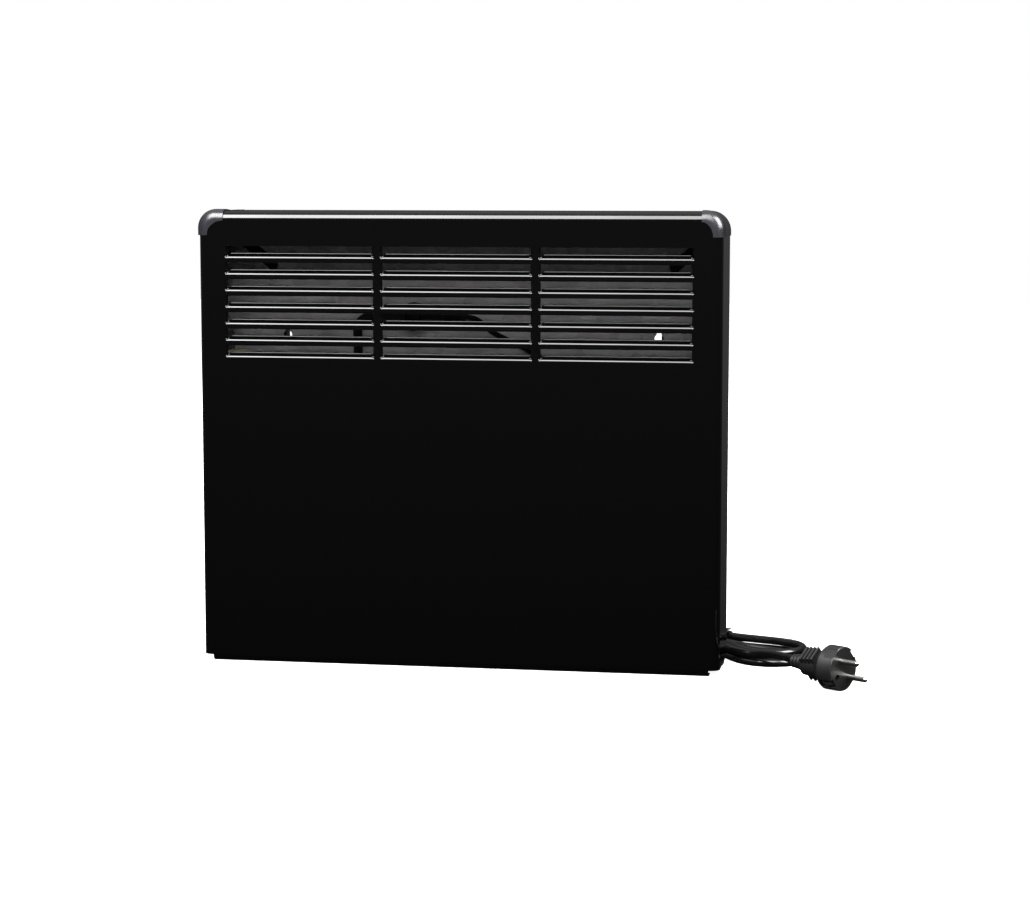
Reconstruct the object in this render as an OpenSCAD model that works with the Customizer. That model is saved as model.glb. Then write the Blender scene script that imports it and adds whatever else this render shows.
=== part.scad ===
// Slim electric convector heater: louvred steel casing, finned element, wall bracket and mains lead.
// Millimetres. X runs to the right, Y to the back and Z up. The heater stands on Z = 0.

/* [Casing] */
// Width across the two side plates
case_w = 451; // [430:1:700]
// Height from the turned-in bottom edge to the top plate
case_h = 391; // [385:1:420]
// Depth from the front face to the rear edge
case_d = 70; // [68:1:80]
// Thickness of the casing sheet
sheet_t = 1; // [0.8:0.1:1.2]
// Outer radius of the bends round the front
edge_r = 8; // [7:0.5:9]
// Outer radius of the two top corners, seen from the front
corner_r = 17; // [15:0.5:20]
// Width of the return flanges at the back
flange_w = 11; // [10:0.5:13]
// Height of the side plates' lower edges above the ground
side_gap = 5.5; // [4:0.5:7]
// Outer radius of the turned-in bottom edge
lip_r = 6; // [5:0.5:8]
// Depth of the turned-in bottom edge
lip_d = 16; // [14:0.5:20]

/* [Louvres] */
// Number of louvre columns
louvre_columns = 3; // [2:1:5]
// Number of louvres in a column
louvre_rows = 7; // [4:1:7]
// Vertical distance from one louvre to the next
louvre_pitch = 14.2; // [13.8:0.1:15]
// Outer radius of a louvre's rolled lip
louvre_r = 6; // [5:0.25:6.5]
// Free height of a louvre above its lip
louvre_gap = 6; // [5:0.25:6.25]
// Rounding of a louvre's side edges
louvre_side_r = 2; // [1.5:0.1:2.5]
// Width of the webs between the columns
web_w = 3; // [3:0.5:10]
// Distance from a side plate to the louvres
grille_side = 22.7; // [20:0.1:30]
// Distance from the top plate to the first opening
grille_top = 29.8; // [28:0.1:34]

/* [Corner caps] */
// How far the caps stand proud of the sheet
cap_proud = 0.8; // [0.6:0.1:1]
// Length of a cap along each edge, from the corner
cap_reach = 22.5; // [21.5:0.5:25]
// Radius of the scooped inner edge of a cap
cap_scoop_r = 14; // [11:0.5:14]
// Length of the tongues that grip the casing's sheet
cap_tongue = 9; // [7:0.5:12]

/* [Rear panel] */
// Thickness of the galvanised rear panel
panel_t = 0.8; // [0.6:0.1:1]
// Depth of the rear panel's bottom flange
foot_d = 14; // [12:1:18]
// Distance from a side plate to a slanted window's centre
window_side = 33.5; // [25.5:0.5:45.5]
// Distance from the top plate to the slanted windows' centres
window_top = 36.5; // [34:0.5:46]
// Slope of the slanted windows, in degrees
window_slope = 39.8; // [35:0.1:45]
// Length of a slanted window
window_l = 46; // [28:1:48]
// Width of a slanted window
window_w = 10; // [9:0.5:11]
// Distance from a side plate to a keyhole
keyhole_side = 60.5; // [55.5:0.5:65.5]
// Distance from the top plate to the keyholes
keyhole_top = 110; // [101:1:116]
// Diameter of a keyhole's round part
keyhole_d = 8; // [7:0.5:9]
// Width of a keyhole's neck
keyhole_neck = 4.2; // [4:0.1:5]

/* [Wall bracket] */
// Depth of the bracket behind the casing
bracket_d = 14; // [13.5:0.5:18]
// Thickness of the bracket's sheet
bracket_t = 1.5; // [1.2:0.1:2]
// Width of a bracket upright
upright_w = 44; // [36:1:48]
// Height of the bracket's lower end
bracket_z = 120; // [110:1:135]
// Height of a cross bar
bar_h = 28; // [26:1:32]
// Distance between the two rows of wall screws
screw_rows = 150; // [140:1:155]
// Distance between the two columns of wall screws
screw_columns = 260; // [200:1:280]
// Radius of a wall screw's hole
screw_hole_r = 2.75; // [2.5:0.05:3]
// Height that the heater is lifted to come off the bracket
lift = 12; // [10:1:14]

/* [Controls] */
// Distance from the top plate to the control panel's centre
controls_top = 159; // [151:1:171]
// Height of the control panel's recess
recess_h = 104; // [100:1:110]
// Width of the control panel's recess
recess_w = 46; // [44:1:48]
// Depth of the control panel's recess
recess_d = 11.5; // [11:0.5:13]
// Wall of the control panel moulding
panel_wall = 2; // [1.6:0.1:2.4]
// Width of the control panel's rim on the side plate
rim_w = 3; // [2.5:0.5:4]
// Diameter of the thermostat knob
knob_d = 30; // [28:1:32]
// Height of the thermostat knob
knob_h = 10.8; // [10:0.1:11]
// Diameter of the thermostat shaft
shaft_d = 6; // [5.5:0.1:6.5]
// Running clearance round the shaft
shaft_play = 0.05; // [0.03:0.01:0.08]
// Length of the rocker switch bezel
bezel_l = 21; // [20:0.5:23]
// Width of the rocker switch bezel
bezel_w = 15; // [14:0.5:16]
// Tilt of the rocker each side of its middle, in degrees
rocker_tilt = 9; // [8:0.5:10]

/* [Element] */
// Height of the heating element's middle
element_z = 108; // [100:1:118]
// Distance from a side plate to the row of fins
fins_side = 69.5; // [60.5:0.5:85.5]
// Distance between fins
fin_pitch = 6; // [5.5:0.5:8]
// Thickness of a fin
fin_t = 0.6; // [0.5:0.1:0.8]
// Depth of a fin from front to back
fin_d = 50; // [46:1:54]
// Height of a fin
fin_h = 38; // [34:1:42]
// Diameter of the heating rod
rod_d = 8; // [7:0.5:9]
// Distance between the rod's two legs
rod_span = 26; // [24:1:30]
// Length of a silicone bush along the rod
bush_l = 8; // [6:1:10]

/* [Limiter] */
// Distance from the top plate to the limiter's sleeved leads
limiter_top = 92.5; // [89:0.5:101]
// Length of the limiter's holder
holder_l = 54; // [50:1:60]
// Distance of the holder's middle to the left of the heater's middle
holder_x = 50; // [45:1:60]
// Diameter of the bimetal limiter
limiter_d = 15.6; // [14:0.2:17]
// Diameter of the sleeve over the leads
sleeve_d = 8.4; // [8:0.2:9]

/* [Mains lead] */
// Diameter of the mains lead
cord_d = 7; // [6.8:0.1:7]
// Loops in the hank before its last run
hank_loops = 3; // [2:1:3]
// Straight length between the hank's two folds
hank_run = 116; // [105:1:125]
// Radius of the tightest turn at the hank's folds
hank_fold_r = 21; // [21:0.5:23]
// Sideways step from one loop to the next
hank_step = 8.4; // [8.2:0.1:9]
// Height from one layer of loops to the next
hank_layer = 7.6; // [7.5:0.1:8]
// Half the width left between the two sides at the waist
hank_waist = 4.5; // [4.2:0.1:6]
// Thickness of the tie round the waist
tie_t = 1; // [0.8:0.1:1.2]
// Width of the tie
tie_w = 5; // [4:0.5:8]

/* [Mains plug] */
// Diameter of the plug's face
plug_d = 37; // [36.5:0.1:38]
// Distance between the two pins
pin_span = 19; // [18.8:0.1:19.2]
// Diameter of a pin
pin_d = 4.8; // [4.7:0.05:4.9]
// Length of a pin
pin_l = 19; // [18:0.5:20]
// Length of the plug from its face to its strain relief
plug_l = 40; // [38:1:42]
// Length of the plug's strain relief
relief_l = 12; // [11:0.5:14]

/* [Hidden] */
$fn = 64;
eps = 0.01;

// Planes across the depth, from the caps' front to the wall
total_d = cap_proud + case_d + bracket_d;
front_y = cap_proud - total_d / 2;
rear_y = front_y + case_d;
wall_y = rear_y + bracket_d;
panel_y = rear_y - sheet_t - panel_t;
panel_back_y = rear_y - sheet_t;

// Centres of the two rounded top corners
corner_x = case_w / 2 - corner_r;
corner_z = case_h - corner_r;

// Louvre field
grille_w = case_w - 2 * grille_side;
louvre_w = (grille_w - (louvre_columns - 1) * web_w) / louvre_columns;
first_lip_z = case_h - grille_top - louvre_gap - louvre_r;
function louvre_x(column) = -grille_w / 2 + column * (louvre_w + web_w);
function louvre_z(row) = first_lip_z - row * louvre_pitch;

// Places that keep their distance from the side plates or from the top plate
window_span = case_w - 2 * window_side;
keyhole_span = case_w - 2 * keyhole_side;
fins_l = case_w - 2 * fins_side;
window_z = case_h - window_top;
keyhole_z = case_h - keyhole_top;
controls_z = case_h - controls_top;
limiter_z = case_h - limiter_top;

// Casing screws through the return flanges
casing_screw_r = 1.6;
casing_screw_top = 81;
casing_screw_z = [40, 150, case_h - casing_screw_top];
casing_screw_x = 120;

function unit(v) = v / norm(v);

// Rectangle with rounded corners, centred
module rounded_rect(w, h, r) {
    square([w - 2 * r, h], center = true);
    square([w, h - 2 * r], center = true);
    for (x = [-1, 1], y = [-1, 1])
        translate([x * (w / 2 - r), y * (h / 2 - r)]) circle(r);
}

// Turns a flat drawing of X and Z into a plate that runs from y to y + t
module upright(y, t) {
    translate([0, y + t, 0]) rotate([90, 0, 0]) linear_extrude(t) children();
}

// Turns a flat drawing of Y and Z into a plate that runs from x to x + t
module sideways(x, t) {
    translate([x, 0, 0]) rotate([90, 0, 90]) linear_extrude(t) children();
}

// A screw along +Z with its head's top at zero, the shank below
module screw(head_r, head_h, shank_r, shank_l) {
    translate([0, 0, -head_h])
        difference() {
            cylinder(h = head_h, r = head_r);
            translate([0, 0, head_h * 0.4])
                linear_extrude(head_h)
                    for (turn = [0, 90])
                        rotate(turn) square([head_r * 1.3, head_r * 0.28], center = true);
        }
    translate([0, 0, -head_h - shank_l]) cylinder(h = shank_l, r = shank_r);
}

// Tube swept along points: ring directions follow the path, and the frame is carried along without twist
function path_dirs(path, first, last) = [
    for (i = [0 : len(path) - 1])
        i == 0 ? unit(first) : i == len(path) - 1 ? unit(last)
        : unit(unit(path[i + 1] - path[i]) + unit(path[i] - path[i - 1]))
];
function carried(n, d) = unit(n - (n * d) * d);
function path_normals(dirs, start) = [
    for (i = 0, n = carried(start, dirs[0]); i < len(dirs);
        i = i + 1, n = i < len(dirs) ? carried(n, dirs[i]) : n) n
];
module swept_tube(path, radii, sides, first, last, start = [0.1, 0.2, 1]) {
    dirs = path_dirs(path, first, last);
    normals = path_normals(dirs, start);
    rings = [
        for (i = [0 : len(path) - 1])
            let (side = cross(dirs[i], normals[i]), r = is_list(radii) ? radii[i] : radii)
                for (k = [0 : sides - 1])
                    path[i] + r * (cos(360 * k / sides) * normals[i] + sin(360 * k / sides) * side)
    ];
    last_ring = (len(path) - 1) * sides;
    walls = [
        for (i = [0 : len(path) - 2], k = [0 : sides - 1])
            let (a = i * sides + k, b = i * sides + (k + 1) % sides)
                each [[a, a + sides, b + sides], [a, b + sides, b]]
    ];
    start_face = [for (k = [1 : sides - 2]) [0, k, k + 1]];
    end_face = [for (k = [1 : sides - 2]) [last_ring, last_ring + k + 1, last_ring + k]];
    polyhedron(points = rings, faces = concat(walls, start_face, end_face), convexity = 6);
}

// Section of the casing's wall, x away from the corner's centre line and y to the back.
// A positive rise lies outside the sheet's outer face, a negative one inside it.
module edge_outline(rise) {
    translate([0, edge_r]) square([corner_r + rise, case_d - edge_r]);
    translate([0, -rise]) square([corner_r - edge_r, edge_r + rise]);
    translate([corner_r - edge_r, edge_r]) circle(edge_r + rise);
}
module edge_wall(outside, inside) {
    intersection() {
        difference() {
            edge_outline(outside);
            edge_outline(inside);
            translate([0, case_d / 2]) square([corner_r + inside, case_d]);
        }
        translate([corner_r - edge_r, -outside]) square([edge_r + outside, case_d + outside]);
    }
}
module casing_edge() {
    edge_wall(0, -sheet_t);
    // The bend runs a little into the flat front
    translate([corner_r - edge_r - eps, 0]) square([eps, sheet_t]);
    translate([corner_r - flange_w, case_d - sheet_t]) square([flange_w, sheet_t]);
}

/* Front casing */
module front_outline() {
    half = case_w / 2 - edge_r;
    translate([-half, side_gap]) square([2 * half, corner_z - side_gap]);
    translate([-corner_x, side_gap]) square([2 * corner_x, case_h - edge_r - side_gap]);
    translate([-half + eps, lip_r]) square([2 * (half - eps), case_h / 2]);
    for (x = [-corner_x, corner_x])
        translate([x, corner_z]) circle(corner_r - edge_r);
}
module louvre_windows() {
    for (column = [0 : louvre_columns - 1], row = [0 : louvre_rows - 1])
        translate([louvre_x(column), louvre_z(row)]) square([louvre_w, louvre_r + louvre_gap]);
}
// Quarter of a rolled sheet edge with its centre at the origin, from the front round to the inside.
// It runs a little into the flat sheet.
module rolled_edge(r) {
    translate([-r, -eps]) square([sheet_t, eps]);
    intersection() {
        difference() {
            circle(r);
            circle(r - sheet_t);
        }
        translate([-r, 0]) square(r);
    }
}
module louvre_lips() {
    for (column = [0 : louvre_columns - 1], row = [0 : louvre_rows - 1]) {
        // The lip curls in over the opening's whole width
        translate([louvre_x(column), front_y + louvre_r, louvre_z(row)])
            rotate([90, 0, 90]) linear_extrude(louvre_w) rolled_edge(louvre_r);
        // The two side edges curl in by their own small radius
        for (end = [0, 1])
            translate([louvre_x(column) + end * louvre_w, front_y + louvre_side_r, louvre_z(row)])
                mirror([end, 0, 0])
                    linear_extrude(louvre_r + louvre_gap)
                        rotate(-90) rolled_edge(louvre_side_r);
    }
}
module front_casing() {
    half = case_w / 2 - edge_r;
    color([0.05, 0.05, 0.055])
        difference() {
            union() {
                upright(front_y, sheet_t)
                    difference() {
                        front_outline();
                        louvre_windows();
                    }
                louvre_lips();
                // Top bend, top plate and its return flange
                translate([corner_x, front_y, corner_z])
                    rotate([0, -90, 0]) linear_extrude(2 * corner_x) casing_edge();
                // Side bends, side plates and their return flanges
                for (side = [0, 1])
                    mirror([side, 0, 0])
                        translate([corner_x, front_y, side_gap])
                            linear_extrude(corner_z - side_gap) casing_edge();
                // Turned-in bottom edge
                translate([-half, front_y + lip_r, lip_r])
                    rotate([90, 0, 90]) linear_extrude(2 * half) mirror([0, 1]) rolled_edge(lip_r);
                translate([-half, front_y + lip_r, 0]) cube([2 * half, lip_d - lip_r, sheet_t]);
            }
            // Relief holes where the bottom edge parts from the side bends
            for (side = [-1, 1])
                translate([side * half, front_y - 1, side_gap])
                    rotate([-90, 0, 0]) cylinder(h = lip_r, r = relief_r);
            // Opening for the controls in the left side plate
            sideways(-case_w / 2 - 1, sheet_t + 2)
                translate([controls_y, controls_z])
                    rounded_rect(recess_w + 2 * panel_wall, recess_h + 2 * panel_wall, recess_r + panel_wall);
            // Holes for the control panel's screws
            for (z = control_screw_z)
                translate([-case_w / 2 - 1, controls_y, z])
                    rotate([0, 90, 0]) cylinder(h = sheet_t + 2, r = control_screw_r);
            casing_screw_holes(casing_screw_r);
        }
}
relief_r = 1.5;

module casing_screw_places() {
    for (side = [-1, 1], z = casing_screw_z)
        translate([side * (case_w / 2 - flange_w / 2 - sheet_t), rear_y, z]) rotate([-90, 0, 0]) children();
    for (side = [-1, 1])
        translate([side * casing_screw_x, rear_y, case_h - flange_w / 2 - sheet_t])
            rotate([-90, 0, 0]) children();
}
module casing_screw_holes(r) {
    casing_screw_places() translate([0, 0, -sheet_t - panel_t - 1]) cylinder(h = sheet_t + panel_t + 2, r = r);
}
module casing_screws() {
    color([0.62, 0.63, 0.65])
        casing_screw_places()
            translate([0, 0, screw_head_h]) screw(3.1, screw_head_h, casing_screw_r, casing_screw_l);
}
screw_head_h = 1.1;
casing_screw_l = 6;

/* Corner caps */
module cap_section() {
    edge_wall(cap_proud, -sheet_t);
    translate([0, -cap_proud]) square([corner_r - edge_r, cap_proud]);
    translate([corner_r - flange_w, case_d - sheet_t]) square([flange_w, sheet_t]);
}
module cap_arm_section() {
    edge_wall(cap_proud, 0);
    translate([0, -cap_proud]) square([corner_r - edge_r, cap_proud]);
}
// Cap for the right corner, about the corner's centre
module corner_cap() {
    arm = cap_reach - corner_r;
    tongue_t = 1.2;
    tongue_w = 12;
    difference() {
        union() {
            rotate([-90, 0, 0]) rotate([0, 0, -90]) rotate_extrude(angle = 90) cap_section();
            rotate([0, -90, 0]) linear_extrude(arm) cap_arm_section();
            translate([0, 0, -arm]) linear_extrude(arm) cap_arm_section();
            translate([-arm, -cap_proud, -arm]) cube([arm, cap_proud, arm]);
        }
        translate([-arm, -cap_proud - 1, -arm]) rotate([-90, 0, 0]) cylinder(h = cap_proud + 1, r = cap_scoop_r);
    }
    // Tongues under the sheet of the top plate and of the side plate
    for (y = [case_d * 0.3, case_d * 0.65]) {
        translate([-cap_tongue, y, corner_r - sheet_t - tongue_t]) cube([cap_tongue + 2, tongue_w, tongue_t]);
        translate([corner_r - sheet_t - tongue_t, y, -cap_tongue]) cube([tongue_t, tongue_w, cap_tongue + 2]);
    }
}
module corner_cap_right() {
    color([0.3, 0.3, 0.32]) translate([corner_x, front_y, corner_z]) corner_cap();
}
module corner_cap_left() {
    color([0.3, 0.3, 0.32]) translate([-corner_x, front_y, corner_z]) mirror([1, 0, 0]) corner_cap();
}

/* Rear panel */
panel_play = 0.5;
panel_half = case_w / 2 - sheet_t - panel_play;
panel_top = case_h - sheet_t - panel_play;
module panel_outline() {
    r = corner_r - sheet_t - panel_play;
    translate([-panel_half, 0]) square([2 * panel_half, corner_z]);
    translate([-corner_x, 0]) square([2 * corner_x, panel_top]);
    for (x = [-corner_x, corner_x])
        translate([x, corner_z]) circle(r);
}
// Slot with round ends along X
module slot_outline(l, w) {
    square([l - w, w], center = true);
    for (x = [-1, 1]) translate([x * (l - w) / 2, 0]) circle(w / 2);
}
module keyhole_outline() {
    circle(keyhole_d / 2);
    translate([-keyhole_neck / 2, 0]) square([keyhole_neck, keyhole_d]);
    translate([0, keyhole_d]) circle(keyhole_neck / 2);
}
inlet_l = 34;
inlet_w = 6;
inlet_pitch = 42;
inlet_rows = [28, 40];
clip_slot_w = 9;
clip_nose = 6;
clip_z = bracket_z + 16;
module panel_holes() {
    for (side = [-1, 1])
        translate([side * window_span / 2, window_z]) rotate(side * window_slope) slot_outline(window_l, window_w);
    for (side = [-1, 1]) {
        translate([side * keyhole_span / 2, keyhole_z]) keyhole_outline();
        // Slots for the bracket's clips, long enough for the lift
        translate([side * upright_x, clip_z - lift / 2])
            square([clip_slot_w, clip_nose + lift + 4], center = true);
    }
    // Air inlets under the element
    for (z = inlet_rows, i = [-3 : -1])
        translate([i * inlet_pitch, z]) slot_outline(inlet_l, inlet_w);
    translate([gland_x, gland_z]) circle(gland_hole_r);
    translate([earth_x, earth_z]) circle(earth_r);
    for (x = element_bracket_x, z = element_screw_z)
        translate([x[0] + x[1] * bracket_foot / 2, z]) circle(element_screw_r);
    for (x = holder_feet) translate([x, limiter_z]) circle(holder_peg_r);
    for (z = block_screw_z) translate([block_x, z]) circle(block_screw_r);
}
// Hook lanced out of the panel: a slanted shelf over the bracket and a lip down behind it
hook_l = window_l - window_w - 6;
hook_gap = 0.4;
hook_lip = 6;
module panel_hook() {
    translate([window_span / 2, panel_back_y, window_z])
        rotate([0, -window_slope, 0])
            translate([-hook_l / 2, 0, window_w / 2]) {
                translate([0, -panel_t, 0]) cube([hook_l, hook_reach + panel_t, panel_t]);
                translate([0, hook_reach - panel_t, -hook_lip]) cube([hook_l, panel_t, hook_lip + panel_t]);
            }
}
module rear_panel() {
    color([0.72, 0.73, 0.74])
        difference() {
            union() {
                upright(panel_y, panel_t)
                    difference() {
                        panel_outline();
                        panel_holes();
                    }
                translate([-panel_half, panel_y - foot_d, 0]) cube([2 * panel_half, foot_d + eps, panel_t]);
                for (side = [0, 1]) mirror([side, 0, 0]) panel_hook();
            }
            casing_screw_holes(casing_screw_r);
        }
}

/* Wall bracket */
// The uprights stand just behind the casing, their tops cut to the slope of the panel's hooks
bracket_front_y = rear_y + hook_gap;
upright_side = 14.5;
upright_x = case_w / 2 - upright_side - upright_w / 2;
hook_reach = bracket_front_y - panel_back_y + bracket_t + hook_gap + panel_t;
bar_z = [bracket_z + 38, bracket_z + 38 + screw_rows];
module wall_bracket() {
    color([0.06, 0.06, 0.065])
        difference() {
            union() {
                for (side = [0, 1])
                    mirror([side, 0, 0])
                        difference() {
                            translate([upright_x - upright_w / 2, bracket_front_y, bracket_z])
                                cube([upright_w, wall_y - bracket_front_y, case_h - bracket_z]);
                            // Open channel towards the wall
                            translate([upright_x - upright_w / 2 + bracket_t, bracket_front_y + bracket_t, 0])
                                cube([upright_w - 2 * bracket_t, bracket_d, case_h + 1]);
                            // Slanted top under the hook
                            translate([window_span / 2, bracket_front_y - 1, window_z])
                                rotate([0, -window_slope, 0])
                                    translate([-case_h / 2, 0, window_w / 2])
                                        cube([case_h, bracket_d + 2, case_h]);
                            // Relief that clears the hook's lip behind the plate
                            translate([window_span / 2, bracket_front_y + bracket_t, window_z])
                                rotate([0, -window_slope, 0])
                                    translate([-upright_w, 0, window_w / 2 - hook_lip - hook_clear])
                                        cube([2 * upright_w, bracket_d, case_h]);
                            // Hole for the clip
                            translate([upright_x, bracket_front_y - 1, clip_z])
                                rotate([-90, 0, 0]) cylinder(h = bracket_t + 2, r = clip_peg_r);
                        }
                // Cross bars that lie on the wall
                for (z = bar_z)
                    translate([-upright_x - upright_w / 2 + eps, wall_y - bracket_t, z - bar_h / 2])
                        cube([2 * upright_x + upright_w - 2 * eps, bracket_t, bar_h]);
            }
            // Wall screws
            for (x = [-1, 1], z = bar_z)
                translate([x * screw_columns / 2, wall_y - bracket_t - 1, z])
                    rotate([-90, 0, 0]) cylinder(h = bracket_t + 2, r = screw_hole_r);
        }
}
hook_clear = 2;
clip_peg_r = 2.4;
clip_w = 7;
// Plastic snap clips: a peg in the upright, a pad before it and a nose that reaches through the panel's slot
module bracket_clips() {
    pad_t = bracket_front_y - panel_back_y - hook_gap;
    color([0.12, 0.12, 0.12])
        for (side = [-1, 1])
            translate([side * upright_x, bracket_front_y, clip_z]) {
                rotate([-90, 0, 0]) cylinder(h = bracket_t, r = clip_peg_r);
                translate([0, bracket_t, 0]) rotate([-90, 0, 0]) cylinder(h = 1.5, r = clip_peg_r + 1.2);
                translate([-clip_w / 2, -pad_t, -clip_nose / 2]) cube([clip_w, pad_t, clip_nose]);
                translate([-clip_w / 2, -pad_t - panel_t - 3, -clip_nose / 2])
                    cube([clip_w, panel_t + 3 + eps, clip_nose]);
            }
}

/* Controls in the left side */
controls_y = (front_y + edge_r + rear_y) / 2;
recess_r = 6;
rim_t = cap_proud;
side_x = -case_w / 2;
floor_x = side_x + recess_d;
knob_z = controls_z + 22;
rocker_z = controls_z - 32;
control_screw_r = 1.7;
control_head_r = 2.8;
control_head_h = 0.6;
control_screw_z = [controls_z + recess_h / 2 + panel_wall + 6, controls_z - recess_h / 2 - panel_wall - 6];
knob_gap = 0.5;
module control_panel() {
    rim_h = recess_h + 2 * panel_wall + 2 * rim_w + 20;
    rim_wide = recess_w + 2 * panel_wall + 2 * rim_w;
    color([0.16, 0.16, 0.17])
        difference() {
            union() {
                // Rim that lies on the side plate
                sideways(side_x - rim_t, rim_t)
                    translate([controls_y, controls_z]) rounded_rect(rim_wide, rim_h, recess_r + rim_w);
                // Tray
                sideways(side_x - rim_t, rim_t + recess_d + panel_wall)
                    translate([controls_y, controls_z])
                        rounded_rect(recess_w + 2 * panel_wall - 0.4, recess_h + 2 * panel_wall - 0.4,
                            recess_r + panel_wall);
            }
            sideways(side_x - rim_t - 1, rim_t + 1 + recess_d)
                translate([controls_y, controls_z]) rounded_rect(recess_w, recess_h, recess_r);
            translate([floor_x - 1, controls_y, knob_z])
                rotate([0, 90, 0]) cylinder(h = panel_wall + 2, r = shaft_d / 2 + 0.6);
            // Seat of the rocker switch
            translate([floor_x - 1, controls_y - switch_hole_w / 2, rocker_z - switch_hole_l / 2])
                cube([panel_wall + 2, switch_hole_w, switch_hole_l]);
            for (z = control_screw_z) {
                translate([side_x - rim_t - 1, controls_y, z])
                    rotate([0, 90, 0]) cylinder(h = rim_t + 2, r = control_screw_r);
                translate([side_x - rim_t - 1, controls_y, z])
                    rotate([0, 90, 0]) cylinder(h = control_head_h + 1, r = control_head_r);
            }
            for (z = thermostat_screw_z) {
                translate([floor_x - 1, controls_y, z])
                    rotate([0, 90, 0]) cylinder(h = panel_wall + 2, r = control_screw_r);
                translate([floor_x - 1, controls_y, z])
                    rotate([0, 90, 0]) cylinder(h = screw_head_h + 1, r = control_head_r);
            }
        }
}
module control_screws() {
    color([0.62, 0.63, 0.65]) {
        for (z = control_screw_z)
            translate([side_x - rim_t, controls_y, z])
                rotate([0, -90, 0]) screw(control_head_r, control_head_h, control_screw_r, 5);
        for (z = thermostat_screw_z)
            translate([floor_x, controls_y, z])
                rotate([0, -90, 0]) screw(control_head_r, screw_head_h, control_screw_r, panel_wall + 3);
    }
}
thermostat_screw_z = [knob_z - 8, knob_z + 8];
thermostat_w = 32;
thermostat_h = 30;
thermostat_d = 18;
shaft_in = 10;
module thermostat_body() {
    back_x = floor_x + panel_wall;
    color([0.85, 0.82, 0.74])
        difference() {
            union() {
                translate([back_x, controls_y - thermostat_w / 2, knob_z - thermostat_h / 2])
                    cube([thermostat_d, thermostat_w, thermostat_h]);
                // Ridge round the moving contact and two tabs
                translate([back_x + thermostat_d - eps, controls_y - thermostat_w / 2 + 4, knob_z - 5])
                    cube([4, thermostat_w - 8, 10]);
                for (y = [-9, 9])
                    translate([back_x + thermostat_d - eps, controls_y + y - 3.15, knob_z + 9])
                        cube([8, 6.3, 0.8]);
            }
            translate([back_x - 1, controls_y, knob_z])
                rotate([0, 90, 0]) cylinder(h = shaft_in + 1, r = shaft_d / 2 + shaft_play);
            for (z = thermostat_screw_z)
                translate([back_x - 1, controls_y, z])
                    rotate([0, 90, 0]) cylinder(h = 5 + 1, r = control_screw_r);
        }
}
shaft_flat = shaft_d / 2 - 1.4;
dial_rest = -135;
// Turns the dial to its lowest setting
module at_dial_rest() {
    translate([0, controls_y, knob_z]) rotate([dial_rest, 0, 0]) translate([0, -controls_y, -knob_z]) children();
}
knob_top_x = floor_x - knob_gap - knob_h;
module thermostat_shaft() {
    color([0.7, 0.71, 0.72]) at_dial_rest() {
        translate([floor_x - knob_gap, controls_y, knob_z])
            rotate([0, 90, 0]) cylinder(h = knob_gap + panel_wall + shaft_in - 0.4, r = shaft_d / 2);
        intersection() {
            translate([floor_x - knob_gap - 8, controls_y, knob_z])
                rotate([0, 90, 0]) cylinder(h = 8 + eps, r = shaft_d / 2);
            translate([floor_x - knob_gap - 9, controls_y - shaft_d, knob_z - shaft_d])
                cube([9 + eps, 2 * shaft_d, shaft_d + shaft_flat]);
        }
    }
}
skirt_h = 3.4;
grip_r = knob_d / 2 - 5;
module thermostat_knob() {
    flutes = 12;
    flute_r = 1.1;
    color([0.13, 0.13, 0.135]) at_dial_rest()
        translate([floor_x - knob_gap, controls_y, knob_z])
            rotate([0, -90, 0])
                difference() {
                    // Skirt with a bevelled rim, and the grip on it
                    rotate_extrude()
                        polygon([[0, 0], [knob_d / 2, 0], [knob_d / 2, skirt_h - 1], [knob_d / 2 - 1.2, skirt_h],
                            [grip_r, skirt_h], [grip_r, knob_h - 0.8], [grip_r - 0.8, knob_h], [0, knob_h]]);
                    for (i = [0 : flutes - 1])
                        rotate(360 * (i + 0.5) / flutes)
                            translate([grip_r + 0.4, 0, skirt_h + 0.8]) cylinder(h = knob_h, r = flute_r);
                    // Pointer groove
                    translate([3, -0.6, knob_h - 0.6]) cube([knob_d / 2, 1.2, 1]);
                    // Flatted bore
                    translate([0, 0, -1])
                        intersection() {
                            cylinder(h = 9, r = shaft_d / 2);
                            translate([-shaft_d, -shaft_d, 0]) cube([shaft_d + shaft_flat, 2 * shaft_d, 10]);
                        }
                }
}
bezel_t = 1.8;
switch_hole_l = bezel_l - 2;
switch_hole_w = bezel_w - 2;
switch_d = 14;
rocker_l = bezel_l - 4.6;
rocker_w = bezel_w - 3.6;
rocker_rise = 3.4;
rocker_in = 4.6;
module switch_body() {
    well_play = 0.35;
    color([0.1, 0.1, 0.1])
        translate([floor_x, controls_y, rocker_z])
            difference() {
                union() {
                    translate([-bezel_t, -bezel_w / 2, -bezel_l / 2]) cube([bezel_t, bezel_w, bezel_l]);
                    translate([-eps, -switch_hole_w / 2, -switch_hole_l / 2])
                        cube([switch_d, switch_hole_w, switch_hole_l]);
                    for (z = [-5, 5])
                        translate([switch_d - 2 * eps, -3.15, z]) cube([8, 6.3, 0.8]);
                }
                // Well in which the rocker tilts
                translate([-bezel_t - 1, -rocker_w / 2 - well_play, -rocker_l / 2 - well_play])
                    cube([bezel_t + 1 + 6.5, rocker_w + 2 * well_play, rocker_l + 2 * well_play]);
            }
}
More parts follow.
